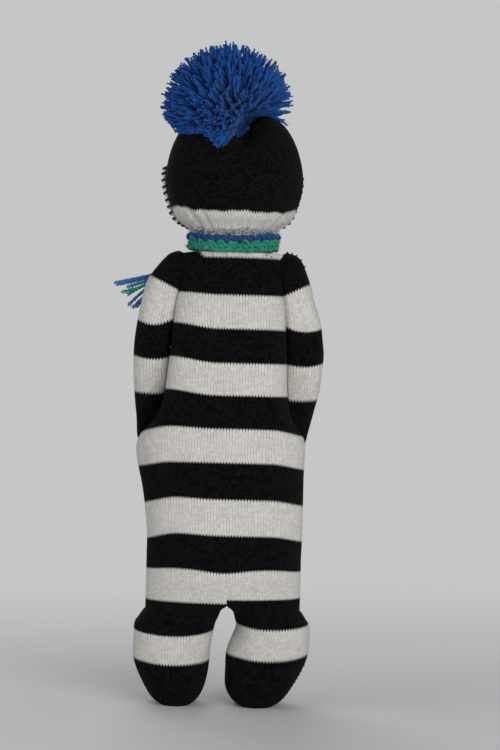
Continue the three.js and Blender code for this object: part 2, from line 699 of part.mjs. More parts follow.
// One strand of the fringe, from the hem outwards
function fringeStrand(side, slope, index) {
  const share = index / (FRINGE_STRANDS - 1) - 0.5;
  const angle = radians(slope + FRINGE_SPREAD * 0.45 + FRINGE_SPREAD * share);
  const start = SCARF_KNOT_WIDTH / 2 + TAIL_LENGTH + 3 * SEAM_GAP;
  const along = new THREE.Vector3(side * Math.cos(radians(slope)), 0, -Math.sin(radians(slope)));
  const across = new THREE.Vector3(side * Math.sin(radians(slope)), 0, Math.cos(radians(slope)));
  const root = new THREE.Vector3(0, tailY(side) - TAIL_DRAPE, KNOT_Z)
    .addScaledVector(along, start + FRINGE_THICKNESS / 2)
    .addScaledVector(across, -share * (SCARF_WIDTH - FRINGE_THICKNESS));
  const reach = FRINGE_LENGTH * (1 - 0.25 * share);
  const tip = root.clone().add(
    new THREE.Vector3(side * Math.cos(angle) * reach, 0, -Math.sin(angle) * reach),
  );
  const middle = root.clone().lerp(tip, 0.5).addScaledVector(along, FRINGE_LENGTH * 0.06);
  const section = new THREE.Shape().absarc(0, 0, FRINGE_THICKNESS / 2, 0, 2 * Math.PI);
  const made = new THREE.ExtrudeGeometry(section, {
    steps: 5,
    curveSegments: 3,
    extrudePath: new THREE.QuadraticBezierCurve3(root, middle, tip),
  });
  return solid(made);
}

const materials = {
  knitWhite: new THREE.MeshStandardMaterial({ color: 0xd8d4cd, roughness: 0.95, metalness: 0 }),
  knitBlack: new THREE.MeshStandardMaterial({ color: 0x0d0d0e, roughness: 0.95, metalness: 0 }),
  stuffing: new THREE.MeshStandardMaterial({ color: 0xf2f0ea, roughness: 1, metalness: 0 }),
  yarnBlue: new THREE.MeshStandardMaterial({ color: 0x1f5fa8, roughness: 0.9, metalness: 0 }),
  yarnGreen: new THREE.MeshStandardMaterial({ color: 0x2a9a72, roughness: 0.9, metalness: 0 }),
  felt: new THREE.MeshStandardMaterial({ color: 0xe4e2dc, roughness: 1, metalness: 0 }),
  thread: new THREE.MeshStandardMaterial({ color: 0xe9e7e0, roughness: 0.8, metalness: 0 }),
  button: new THREE.MeshStandardMaterial({ color: 0x101012, roughness: 0.35, metalness: 0 }),
};

function mesh(name, made, material) {
  const one = new THREE.Mesh(geometryOf(made), materials[material]);
  one.name = name;
  return one;
}

const doll = new THREE.Group();

function addTorso() {
  const hollow = torsoForm(KNIT_WALL, false, YOKE_DROP);
  const legMouths = legForm(1, KNIT_WALL, false).add(legForm(-1, KNIT_WALL, false));
  const neckBall = placed(new THREE.SphereGeometry(NECK_CORE / 2 + 3 * SEAM_GAP, 14, 10), 0, 0, NECK_Z);
  const cover = torsoForm(0).subtract(hollow).subtract(legMouths).subtract(neckBall);
  const stuffing = torsoForm(KNIT_WALL + SEAM_GAP, false).subtract(neckBall);
  doll.add(mesh("torso_cover", cover, "knitWhite"));
  doll.add(mesh("torso_stuffing", stuffing, "stuffing"));
}

function addLeg(side, name) {
  const room = swingRoom();
  const cover = legForm(side, 0).subtract(room);
  const hollow = legForm(side, KNIT_WALL, false, SEAT_DEPTH);
  const stuffing = legForm(side, KNIT_WALL + SEAM_GAP, false).subtract(room);
  doll.add(mesh(`${name}_leg_cover`, cover.subtract(hollow), "knitWhite"));
  doll.add(mesh(`${name}_leg_stuffing`, stuffing, "stuffing"));
}

function addArm(side, name) {
  const clear = torsoForm(-SEAM_GAP);
  const hollow = armForm(side, KNIT_WALL, false).subtract(torsoForm(-SEAM_GAP - KNIT_WALL));
  const cover = armForm(side, 0).subtract(clear).subtract(hollow).subtract(armMouth(side, 0));
  const stuffing = armForm(side, KNIT_WALL + SEAM_GAP, false).subtract(
    torsoForm(-2 * SEAM_GAP - KNIT_WALL),
  );
  doll.add(mesh(`${name}_arm_cover`, cover, "knitWhite"));
  doll.add(mesh(`${name}_arm_stuffing`, stuffing, "stuffing"));
}

function addNeck() {
  const ball = placed(new THREE.SphereGeometry(NECK_CORE / 2, 14, 10), 0, 0, NECK_Z);
  const ring = new THREE.TorusGeometry(NECK_CORE / 2 + SEAM_GAP + THREAD / 2, THREAD / 2, 5, 20);
  doll.add(mesh("neck_stuffing", ball, "stuffing"));
  doll.add(mesh("neck_gather_thread", placed(ring, 0, 0, NECK_Z), "thread"));
}

function addHead() {
  const head = new THREE.Group();
  head.position.z = NECK_Z;
  head.rotation.z = radians(HEAD_TURN);
  const neckBall = placed(new THREE.SphereGeometry(NECK_CORE / 2 + 3 * SEAM_GAP, 14, 10), 0, 0, 0);
  const tieHole = tieForm(-SEAM_GAP);
  const outside = headForm(-SEAM_GAP);
  const cover = headForm(0).subtract(headForm(KNIT_WALL, false, HEAD_HEIGHT)).subtract(tieHole);
  const stuffing = headForm(KNIT_WALL + SEAM_GAP, false).subtract(tieHole).subtract(neckBall);
  head.add(mesh("head_cover", cover.subtract(neckBall), "knitBlack"));
  head.add(mesh("head_stuffing", stuffing, "stuffing"));
  head.add(mesh("pompom", pompomForm().subtract(outside).subtract(tieHole), "yarnBlue"));
  head.add(mesh("pompom_tie", tieForm(0), "yarnBlue"));
  addFace(head);
  doll.add(head);
}

function addFace(head) {
  const panel = faceForm();
  const behind = headForm(-2 * SEAM_GAP - FELT_WALL);
  const dome = muzzleForm(0).subtract(behind);
  const cover = dome.subtract(muzzleForm(KNIT_WALL, false));
  const stuffing = muzzleForm(KNIT_WALL + SEAM_GAP, false).subtract(behind);
  head.add(mesh("face_panel", panel, "felt"));
  head.add(mesh("muzzle_cover", cover, "knitBlack"));
  head.add(mesh("muzzle_stuffing", stuffing, "stuffing"));
  for (const [side, name] of [[1, "left"], [-1, "right"]]) {
    const x = (side * EYE_SPACING) / 2;
    const button = seated(eyeButton(), panel, x, EYE_RISE, EYE_DIAMETER / 3);
    const thread = seated(eyeThread(), panel, x, EYE_RISE, EYE_DIAMETER / 3);
    head.add(mesh(`${name}_eye_button`, button, "button"));
    head.add(mesh(`${name}_eye_thread`, thread, "thread"));
    const nx = (side * NOSTRIL_SPACING) / 2;
    const nz = MUZZLE_RISE + MUZZLE_HEIGHT * 0.12;
    const ny = frontOf(dome, nx, nz) - SEAM_GAP;
    const knot = new THREE.SphereGeometry(NOSTRIL_DIAMETER / 2, 8, 6);
    knot.scale(1, 0.6, 1);
    const nostril = placed(knot, nx, ny, nz).subtract(muzzleForm(-SEAM_GAP));
    head.add(mesh(`${name}_nostril`, nostril, "thread"));
  }
}

function addScarf() {
  doll.add(mesh("scarf_wrap", scarfWrap(), "yarnGreen"));
  doll.add(mesh("scarf_knot", scarfKnot(), "yarnGreen"));
  for (const [side, name, slope] of [[1, "left", TAIL_SLOPE], [-1, "right", TAIL_HANG]]) {
    doll.add(mesh(`${name}_scarf_tail`, scarfTail(side, slope), "yarnGreen"));
    for (let k = 0; k < FRINGE_STRANDS; k += 1) {
      const material = k % 2 ? "yarnGreen" : "yarnBlue";
      doll.add(mesh(`${name}_fringe_${k + 1}`, fringeStrand(side, slope, k), material));
    }
  }
}

addTorso();
addLeg(1, "left");
addLeg(-1, "right");
addArm(1, "left");
addArm(-1, "right");
addNeck();
addHead();
addScarf();

// The origin is on the floor, at the middle of the space that the doll takes
const outline = new THREE.Box3().setFromObject(doll);
doll.position.set(-(outline.min.x + outline.max.x) / 2, -(outline.min.y + outline.max.y) / 2, 0);

export default doll;
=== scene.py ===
"""A hand-sewn striped sock doll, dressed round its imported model.

The doll is drawn in millimetres in a frame of its own: it stands on its soles at z = 0, faces -Y and
has its left side at +X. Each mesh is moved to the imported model's frame, in metres, as it is made.
"""
import logging
from dataclasses import dataclass, replace
from enum import Enum
from math import cos, pi, radians, sin, sqrt, tau
from typing import Dict, List, Optional, Sequence, Tuple, Union

import bpy
import numpy as np
from mathutils import Matrix, Vector


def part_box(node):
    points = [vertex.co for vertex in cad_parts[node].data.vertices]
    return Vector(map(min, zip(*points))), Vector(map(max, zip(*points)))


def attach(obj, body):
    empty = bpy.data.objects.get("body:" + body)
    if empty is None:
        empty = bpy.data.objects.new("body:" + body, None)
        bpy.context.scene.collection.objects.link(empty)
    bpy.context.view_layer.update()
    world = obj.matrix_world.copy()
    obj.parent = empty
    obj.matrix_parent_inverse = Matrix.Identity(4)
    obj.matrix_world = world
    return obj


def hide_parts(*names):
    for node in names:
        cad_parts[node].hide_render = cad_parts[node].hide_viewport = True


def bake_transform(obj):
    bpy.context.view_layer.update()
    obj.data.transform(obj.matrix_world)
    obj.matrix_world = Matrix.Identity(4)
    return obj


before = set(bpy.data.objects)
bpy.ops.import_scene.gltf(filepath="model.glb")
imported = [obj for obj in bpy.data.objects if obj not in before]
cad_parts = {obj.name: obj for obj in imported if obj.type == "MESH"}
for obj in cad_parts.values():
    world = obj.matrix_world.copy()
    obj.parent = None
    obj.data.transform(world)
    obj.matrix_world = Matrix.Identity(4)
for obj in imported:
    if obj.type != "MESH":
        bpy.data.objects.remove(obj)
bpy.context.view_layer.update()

LOG = logging.getLogger("sock_doll")
MM = 0.001
KNIT_MAP = "knit"
SURFACE_SOCKETS = ("Base Color", "Roughness", "Specular IOR Level", "Sheen Weight", "Sheen Roughness")
SHEEN_ROUGHNESS = 0.6

Array = np.ndarray
Draws = np.random.Generator
Material = bpy.types.Material
Piece = bpy.types.Object
Socket = bpy.types.NodeSocket
Colour = Tuple[float, float, float]
Pair = Tuple[float, float]
Place = Tuple[float, float, float]
Span = Tuple[float, float, float, float]
Numbers = Union[float, Array]
Source = Union[Socket, float, Tuple[float, ...]]

# Heights that the whole doll shares, in millimetres above the soles
CROTCH_Z = 58.0
HIP_Z = 87.0
YOKE_Z = 265.0
NECK_Z = 271.0

# The seams: their gap, and where and how far the groove between arm and torso is filled
SEAM_GAP = 0.3
GROOVE_HEIGHTS = (186.0, 245.0)
GROOVE_PLACES = (36.2, 31.0)
GROOVE_SPAN = (176.0, 192.0, 246.0, 262.0)
GROOVE_WIDTH = 3.4
GROOVE_FILL = 3.4

# The body isn't sewn quite straight: it leans to the doll's left, most at the belly
BODY_OFFSET = 0.8
BELLY_SWAY = 2.2
BELLY_SWAY_Z = 140.0
SWAY_ABOVE = 50.0
SWAY_BELOW = 26.0
SWAY_END_Z = YOKE_Z - SWAY_BELOW
HIP_REACH = 2.2
HIP_REACH_Z = 152.0

# Stripe number at which the head turns from black to its white band
HEAD_BLACK = 4.0


class Side(Enum):
    """The doll's own left and right."""

    LEFT = 1
    RIGHT = -1

    @property
    def label(self) -> str:
        """The word that the names of pieces start with."""
        return self.name.lower()

    def of(self, pair: Sequence[float]) -> float:
        """This side's one of two values, the left one's first."""
        return pair[0 if self is Side.LEFT else 1]


class Shade(Enum):
    """The yarns of the scarf."""

    BLUE = "blue"
    GREEN = "green"
    GREY = "grey"


@dataclass(frozen=True)
class Station:
    """One section of a stuffed form: its height, width, depth and middle."""

    z: float
    width: float
    depth: float
    x: float = 0.0
    y: float = 0.0


@dataclass(frozen=True)
class Hinge:
    """Fabric that turns from one body to another between two places."""

    body: str
    next_body: str
    start: Place
    end: Place


def ease(x: Array, low: float, high: float) -> Array:
    """Eased share of the way from low to high, from 0 to 1."""
    t = np.clip((np.asarray(x, float) - low) / (high - low), 0.0, 1.0)
    return t * t * (3 - 2 * t)


def window(x: Array, start: float, full: float, fade: float, end: float) -> Array:
    """Share that eases from 0 at start to 1 at full, and from 1 at fade back to 0 at end: a Span."""
    return ease(x, start, full) * (1 - ease(x, fade, end))


def bell(x: Array, middle: Numbers, width: Numbers) -> Array:
    """Share that is 1 at the middle and falls away to both sides."""
    return np.exp(-(((x - middle) / width) ** 2))


def sway(z: Array) -> Array:
    """How far the middle of the body stands to the doll's left at the given heights."""
    reach = np.where(z > BELLY_SWAY_Z, SWAY_ABOVE, SWAY_BELOW)
    return BODY_OFFSET * (1 - ease(z, SWAY_END_Z, YOKE_Z)) + BELLY_SWAY * bell(z, BELLY_SWAY_Z, reach)


def swayed(rings: Array) -> Array:
    """The places moved along with the middle of the body."""
    return rings + sway(rings[..., 2])[..., None] * np.array([1.0, 0.0, 0.0])


def stripe_at(heights: Array, edges: Sequence[float]) -> Array:
    """Stripe number at the given heights, for stripes that meet at the edges."""
    return np.interp(heights, edges, np.arange(len(edges)))


def xyz(*parts: Numbers) -> Array:
    """Coordinates put together along a last axis."""
    return np.stack(np.broadcast_arrays(*parts), -1)


def unit(vectors: Array) -> Array:
    """The vectors at length 1."""
    return vectors / np.maximum(np.linalg.norm(vectors, axis=-1, keepdims=True), 1e-9)


def doll_origin() -> Array:
    """The doll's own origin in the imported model's frame, in metres: on the floor below the neck."""
    low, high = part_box("neck_gather_thread")
    return np.array([(low[0] + high[0]) / 2, (low[1] + high[1]) / 2, 0.0])


ORIGIN = doll_origin()
FLAT = np.array([1.0, 1.0, 0.0])


def to_frame(points: Array) -> Array:
    """Places in the doll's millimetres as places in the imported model's metres."""
    return np.asarray(points, float) * MM + ORIGIN


def groove_fill(points: Array, inset: float) -> Array:
    """How far places behind the arm's seam stand out, so that only a shallow groove is left there.

    Args:
        points: Places on the torso or on an arm, before the sway.
        inset: How far from the groove's middle the piece stands out most.

    Returns:
        The reach backwards at each place.
    """
    x, y, z = np.abs(points[..., 0]), points[..., 1], points[..., 2]
    middle = np.interp(z, GROOVE_HEIGHTS, GROOVE_PLACES) + inset
    along = window(z, *GROOVE_SPAN)
    return GROOVE_FILL * along * ease(y, 3, 12) * bell(x, middle, GROOVE_WIDTH)


def hip_reach(points: Array) -> Array:
    """How far the doll's left hip and hand stand out beyond the even shape."""
    return HIP_REACH * bell(points[..., 2], HIP_REACH_Z, 15) * ease(points[..., 0], 18, 42)


def rings_through(stations: Sequence[Station], count: int) -> Array:
    """Sections on a smooth curve through the stations.

    Args:
        stations: Sections from the bottom up.
        count: Spans between the sections that come back.

    Returns:
        Rows of height, half width, half depth, x and y.
    """
    rows = np.array([[s.z, s.width / 2, s.depth / 2, s.x, s.y] for s in stations])
    last = len(rows) - 1
    t = np.linspace(0, last, count + 1)
    i = np.minimum(t.astype(int), last - 1)
    f = (t - i)[:, None]
    before, here = rows[np.maximum(i - 1, 0)], rows[i]
    there, after = rows[i + 1], rows[np.minimum(i + 2, last)]
    slope_in, slope_out = (there - before) / 2, (after - here) / 2
    f2, f3 = f**2, f**3
    return (
        (2 * f3 - 3 * f2 + 1) * here
        + (f3 - 2 * f2 + f) * slope_in
        + (3 * f2 - 2 * f3) * there
        + (f3 - f2) * slope_out
    )


def section_at(rings: Array, z: Array) -> Array:
    """Half width, half depth, x and y of a form at the given heights, one row each."""
    return np.stack([np.interp(z, rings[:, 0], rings[:, k]) for k in (1, 2, 3, 4)], -1)


def oval(angles: Array, width: Array, depth: Array, square: float) -> Array:
    """Points of a rounded section.

    Args:
        angles: Angle of each point, in radians.
        width: Half width.
        depth: Half depth.
        square: 2 for an ellipse, more for a squarer section.

    Returns:
        x and y of each point.
    """
    c, s = np.cos(angles), np.sin(angles)
    power = 2 / square
    x = width * np.sign(c) * np.abs(c) ** power
    y = depth * np.sign(s) * np.abs(s) ** power
    return np.stack(np.broadcast_arrays(x, y), -1)


def loft(rings: Array, sides: int, square: float) -> Array:
    """Points of a form.

    Args:
        rings: Sections, as rings_through gives them.
        sides: Points in a ring.
        square: How square the rings are, as for an oval.

    Returns:
        Rings by sides by 3, starting at the back and going to the doll's right.
    """
    angles = pi / 2 + tau * np.arange(sides) / sides
    flat = oval(angles[None, :], rings[:, 1:2], rings[:, 2:3], square) + rings[:, None, 3:5]
    heights = np.broadcast_to(rings[:, None, :1], flat.shape[:2] + (1,))
    return np.concatenate([flat, heights], axis=-1)


class Lumps:
    """Soft unevenness of stuffing: a seeded sum of slow waves through space."""

    def __init__(self, seed: int, size: float, waves: int = 9) -> None:
        """Draws the waves.

        Args:
            seed: Seed of the draw.
            size: Rough distance between lumps.
            waves: Number of waves in the sum.
        """
        rng = np.random.default_rng(seed)
        reach = tau / (size * rng.uniform(0.7, 1.6, (waves, 1)))
        self.directions = unit(rng.normal(size=(waves, 3))) * reach
        self.phases = rng.uniform(0, tau, waves)

    def at(self, points: Array) -> Array:
        """Height of the lumps at the points, mostly from -1 to 1."""
        waves = np.sin(points @ self.directions.T + self.phases)
        return waves.sum(axis=-1) / sqrt(len(self.phases))


@dataclass(frozen=True)
class Fold:
    """A crease across the doll's back, from one (x, z) place to another."""

    start: Pair
    end: Pair
    depth: float = 1.2
    width: float = 1.1

    def press(self, points: Array) -> Array:
        """How far the crease goes in.

        Args:
            points: Places on the skin.

        Returns:
            The depth at each place.
        """
        a, b = np.array(self.start), np.array(self.end)
        flat = points[..., [0, 2]] - a
        along = np.clip(flat @ (b - a) / ((b - a) @ (b - a)), 0, 1)
        away = np.linalg.norm(flat - along[..., None] * (b - a), axis=-1)
        fade = np.sin(pi * np.clip(0.12 + 0.76 * along, 0, 1))
        behind = ease(points[..., 1], 0, 5)
        return self.depth * fade * behind * bell(away, 0, self.width)


def pleats(angles: Array, count: int, seed: int) -> Array:
    """Uneven folds round a gathered opening.

    Args:
        angles: Where round the opening, in radians.
        count: Rough number of folds.
        seed: Seed of their unevenness.

    Returns:
        Their height, from -1 to 1.
    """
    rng = np.random.default_rng(seed)
    counts = (count, round(count * 0.62), round(count * 1.45), 5)
    parts = [np.cos(n * angles + rng.uniform(0, tau)) for n in counts]
    return (1.2 * parts[0] + 0.8 * parts[1] + 0.5 * parts[2] + 0.6 * parts[3]) / 3.1


def linked(name: str, data: bpy.types.ID) -> Piece:
    """Adds an object of the given name and data to the scene.

    Args:
        name: Name of the object.
        data: Its mesh, lamp or camera.

    Returns:
        The new object.
    """
    made = bpy.data.objects.new(name, data)
    bpy.context.scene.collection.objects.link(made)
    return made


def new_piece(
    name: str, points: Array, faces: Sequence[Sequence[int]],
    knit: Optional[Array] = None, values: Optional[Dict[str, Array]] = None,
) -> Piece:
    """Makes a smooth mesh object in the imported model's frame.

    Args:
        name: Name of the piece.
        points: Places in the doll's millimetres.
        faces: Corners of each face.
        knit: Wale and stripe number at every corner of every face, in the faces' order.
        values: Numbers at each point, by attribute name.

    Returns:
        The new object, linked to the scene.
    """
    mesh = bpy.data.meshes.new(name)
    mesh.from_pydata(to_frame(points.reshape(-1, 3)).tolist(), [], [list(f) for f in faces])
    mesh.polygons.foreach_set("use_smooth", [True] * len(mesh.polygons))
    if knit is not None:
        layer = mesh.uv_layers.new(name=KNIT_MAP)
        layer.uv.foreach_set("vector", np.asarray(knit, np.float32).ravel())
    for key, numbers in (values or {}).items():
        attribute = mesh.attributes.new(key, "FLOAT", "POINT")
        attribute.data.foreach_set("value", np.asarray(numbers, np.float32).ravel())
    mesh.update()
    return linked(name, mesh)


@dataclass
class Skin:
    """A knitted tube of closed rings, from the bottom up.

    Attributes:
        rings: Places, rings by sides by 3.
        stripes: Stripe number of every place.
        low: Place that closes the lower end, or None where it stays open.
        high: Place that closes the upper end, or None where it stays open.
        front: Side from which the wales are counted too, besides the first; None is half way round.
        pitch: Width of a wale.
    """

    rings: Array
    stripes: Array
    low: Optional[Place] = None
    high: Optional[Place] = None
    front: Optional[int] = None
    pitch: float = 1.8

    def wales(self) -> Tuple[Array, Array]:
        """Counts the wales round each ring.

        Returns:
            Wale number at the left and at the right of each column of faces.
        """
        sides = self.rings.shape[1]
        steps = np.linalg.norm(np.roll(self.rings, -1, axis=1) - self.rings, axis=-1)
        arc = np.concatenate([np.zeros((len(steps), 1)), np.cumsum(steps, axis=1)], axis=1)
        anchors = np.array([0, self.front or sides // 2, sides])
        nearest = np.abs(np.arange(sides)[:, None] + 0.5 - anchors[None, :]).argmin(axis=1)
        base = arc[:, anchors[nearest]]
        return (arc[:, :-1] - base) / self.pitch, (arc[:, 1:] - base) / self.pitch

    def piece(self, name: str) -> Piece:
        """Makes the mesh object.

        Args:
            name: Name of the piece.

        Returns:
            The new object, with its knit map.
        """
        count, sides = self.rings.shape[:2]
        left, right = self.wales()
        across = np.roll(self.stripes, -1, axis=1)
        index = np.arange(count * sides).reshape(count, sides)
        beside = np.roll(index, -1, axis=1)
        quads = np.stack([index[:-1], beside[:-1], beside[1:], index[1:]], -1).reshape(-1, 4)
        u = np.stack([left[:-1], right[:-1], right[1:], left[1:]], -1).reshape(-1)
        v = np.stack([self.stripes[:-1], across[:-1], across[1:], self.stripes[1:]], -1)
        faces = quads.tolist()
        knit = [np.stack([u, v.reshape(-1)], -1)]
        points = [self.rings.reshape(-1, 3)]
        for end, row, turn in ((self.low, 0, -1), (self.high, count - 1, 1)):
            if end is None:
                continue
            pole = sum(len(p) for p in points)
            points.append(np.array([end], float))
            ends = [(index[row], left[row], self.stripes[row]), (beside[row], right[row], across[row])]
            (a, ua, va), (b, ub, vb) = ends[::turn]
            faces += np.stack([a, b, np.full(sides, pole)], -1).tolist()
            three = [[ua, va], [ub, vb], [(ua + ub) / 2, (va + vb) / 2]]
            knit.append(np.stack([np.stack(pair, -1) for pair in three], axis=1).reshape(-1, 2))
        return new_piece(name, np.concatenate(points), faces, np.concatenate(knit))


def sharpen(piece: Piece, columns: Sequence[int], sides: int, lowest: float) -> None:
    """Keeps a corner crisp where a skin is folded flat against its twin.

    Args:
        piece: Skin whose points lie ring by ring.
        columns: Sides that run along the corners.
        sides: Points in one ring.
        lowest: Height above which the corner is crisp.
    """
    mesh = piece.data
    crisp = mesh.attributes.new("sharp_edge", "BOOLEAN", "EDGE")
    for edge in mesh.edges:
        a, b = edge.vertices
        upright = a % sides == b % sides and a % sides in columns
        crisp.data[edge.index].value = upright and mesh.vertices[a].co.z > lowest * MM


@dataclass
class Yarns:
    """Many round strands of the same number of steps, whose paths are strands by steps by 3.

    A closed strand runs back into its own start.
    """

    paths: Array
    radii: Array
    sides: int = 6
    closed: bool = False
    tones: Optional[Array] = None

    def axes(self) -> Tuple[Array, Array]:
        """Carries two directions square to each strand along it without twist.

        Returns:
            The two directions at each step.
        """
        if self.closed:
            along = unit(np.roll(self.paths, -1, axis=1) - np.roll(self.paths, 1, axis=1))
            up = np.broadcast_to(xyz(0.03, 0.05, 1.0), along.shape)
            first = unit(np.cross(along, up))
            return first, np.cross(along, first)
        along = unit(np.gradient(self.paths, axis=1))
        start = np.cross(along[:, 0], xyz(0.31, 0.52, 0.79))
        current = unit(start)
        first = []
        for k in range(along.shape[1]):
            t = along[:, k]
            current = unit(current - (current * t).sum(-1, keepdims=True) * t)
            first.append(current)
        side = np.stack(first, axis=1)
        return side, np.cross(along, side)

    def plied(self, plies: int, spread: Numbers, pitch: float, radius: Numbers) -> "Yarns":
        """The plies that these strands are twisted from.

        Args:
            plies: Plies in a strand.
            spread: Distance of a ply from the strand's middle at each step.
            pitch: Length of a full twist.
            radius: Radius of a ply at each step.

        Returns:
            The plies, as many times the strands as there are plies.
        """
        side, over = self.axes()
        steps = np.linalg.norm(np.diff(self.paths, axis=1), axis=-1)
        run = np.concatenate([np.zeros((len(steps), 1)), np.cumsum(steps, axis=1)], axis=1)
        if self.closed:
            whole = run[:, -1:] + np.linalg.norm(self.paths[:, 0] - self.paths[:, -1], axis=-1)[:, None]
            run = run / whole * np.round(whole / pitch) * pitch
        made = []
        for k in range(plies):
            turn = tau * (run / pitch + k / plies)
            offset = np.cos(turn)[..., None] * side + np.sin(turn)[..., None] * over
            made.append(self.paths + np.broadcast_to(spread, run.shape)[..., None] * offset)
        tones = None if self.tones is None else np.concatenate([self.tones] * plies)
        radii = np.broadcast_to(radius, (len(self.paths) * plies, self.paths.shape[1]))
        return Yarns(np.concatenate(made), radii, self.sides, self.closed, tones)

    def piece(self, name: str) -> Piece:
        """Makes one mesh object of all the strands, with their tone and reach as attributes.

        Args:
            name: Name of the piece.

        Returns:
            The new object.
        """
        count, steps = self.paths.shape[:2]
        side, over = self.axes()
        angles = tau * np.arange(self.sides)[:, None] / self.sides
        radii = np.broadcast_to(self.radii, (count, steps))[..., None, None]
        ring = np.cos(angles) * side[..., None, :] + np.sin(angles) * over[..., None, :]
        points = self.paths[..., None, :] + radii * ring
        index = np.arange(count * steps * self.sides).reshape(count, steps, self.sides)
        ahead = np.roll(index, -1, axis=1) if self.closed else index[:, 1:]
        behind = index if self.closed else index[:, :-1]
        corners = [behind, np.roll(behind, -1, axis=2), np.roll(ahead, -1, axis=2), ahead]
        faces = np.stack(corners, axis=-1).reshape(-1, 4)[:, ::-1].tolist()
        if not self.closed:
            faces += index[:, 0].tolist()
            faces += index[:, -1, ::-1].tolist()
        tones = np.full(count, 0.5) if self.tones is None else self.tones
        shape = (count, steps, self.sides)
        reach = np.broadcast_to(np.linspace(0, 1, steps)[None, :, None], shape)
        tone = np.broadcast_to(tones[:, None, None], shape)
        return new_piece(name, points, faces, values={"tone": tone, "reach": reach})


def fluff(lines: Array, count: int, radius: float, longest: float, rng: Draws) -> Yarns:
    """Fine curled fibres that stand off strands.

    Args:
        lines: Places of the strands, strands by steps by 3.
        count: Number of fibres.
        radius: Radius of a fibre at its root.
        longest: Length of the longest fibre.
        rng: Source of the draws.

    Returns:
        The fibres.
    """
    which = rng.integers(0, len(lines), count)
    step = rng.integers(0, lines.shape[1] - 1, count)
    root = lines[which, step]
    along = unit(lines[which, step + 1] - root)
    side = unit(np.cross(along, rng.normal(size=along.shape)))
    curl = unit(np.cross(along, rng.normal(size=along.shape)))
    t = np.linspace(0, 1, 5)[None, :, None]
    size = longest * rng.uniform(0.35, 1.0, (count, 1, 1))
    lean = rng.uniform(0.2, 0.8, (count, 1, 1))
    paths = root[:, None] + size * (t * along[:, None] + lean * np.sin(2.6 * t) * side[:, None])
    paths = paths + size * 0.6 * t**2 * curl[:, None]
    return Yarns(paths, radius * (1 - 0.6 * t[..., 0]), 3, tones=rng.uniform(0.3, 1, count))


class Graph:
    """The nodes of a material or a world, added by short calls that give their output sockets back."""

    def __init__(self, name: str, kept: bpy.types.bpy_prop_collection = bpy.data.materials) -> None:
        """Starts a material with one principled shader, or a world.

        Args:
            name: Its name.
            kept: The file's materials or its worlds.
        """
        self.owner = kept.new(name)
        self.owner.use_nodes = True
        self.tree = self.owner.node_tree
        self.shader = self.tree.nodes.get("Principled BSDF")

    def put(self, socket: Socket, source: Optional[Source]) -> None:
        """Links a socket to another, or sets its value.

        Args:
            socket: The input.
            source: A socket, a number or a colour; None leaves the input alone.
        """
        if isinstance(source, Socket):
            self.tree.links.new(source, socket)
        elif source is not None:
            size = len(source) if isinstance(source, tuple) else 0
            is_colour = socket.type == "RGBA" and size == 3
            socket.default_value = (*source, 1.0) if is_colour else source

    def add(self, kind: str, *sources: Optional[Source], **settings: object) -> bpy.types.Node:
        """Adds a node.

        Args:
            kind: The node's class.
            *sources: What its first inputs are linked to or set to.
            **settings: The node's own properties.

        Returns:
            The new node.
        """
        node = self.tree.nodes.new(kind)
        for key, value in settings.items():
            setattr(node, key, value)
        for index, source in enumerate(sources):
            self.put(node.inputs[index], source)
        return node

    def math(self, operation: str, *sources: Source) -> Socket:
        """A math node's result."""
        return self.add("ShaderNodeMath", *sources, operation=operation).outputs[0]

    def mix(self, share: Source, low: Source, high: Source) -> Socket:
        """A colour between two others."""
        return self.add("ShaderNodeMix", share, *[None] * 5, low, high, data_type="RGBA").outputs[2]

    def scaled(self, colour: Source, level: Source) -> Socket:
        """A colour made lighter or darker by a level."""
        return self.add("ShaderNodeVectorMath", colour, None, None, level, operation="SCALE").outputs[0]

    def spread(self, value: Source, low: float, high: float, to: Pair) -> Socket:
        """A value moved, with clamping, from the range low to high into the range to."""
        return self.add("ShaderNodeMapRange", value, low, high, *to).outputs[0]

    def number(self, attribute: str) -> Socket:
        """A number that the mesh holds at its points."""
        return self.add("ShaderNodeAttribute", attribute_name=attribute).outputs["Fac"]

    def noise(self, vector: Socket, scale: float, detail: float = 2.0) -> Socket:
        """Smooth noise from 0 to 1."""
        return self.add("ShaderNodeTexNoise", vector, None, scale, detail).outputs["Fac"]

    def object_place(self) -> Socket:
        """The place on the piece, in metres."""
        return self.add("ShaderNodeTexCoord").outputs["Object"]

    def surface(self, colour: Source, roughness: float, specular: float, sheen: float) -> None:
        """Sets the shader's colour, its roughness and its specular and sheen levels."""
        for name, value in zip(SURFACE_SOCKETS, (colour, roughness, specular, sheen, SHEEN_ROUGHNESS)):
            self.put(self.shader.inputs[name], value)

    def bump(self, height: Source, depth: float, strength: float) -> None:
        """Shapes the shader's normal by a height that is worth the given depth, in metres."""
        relief = self.add("ShaderNodeBump", strength, depth, None, height)
        self.put(self.shader.inputs["Normal"], relief.outputs[0])


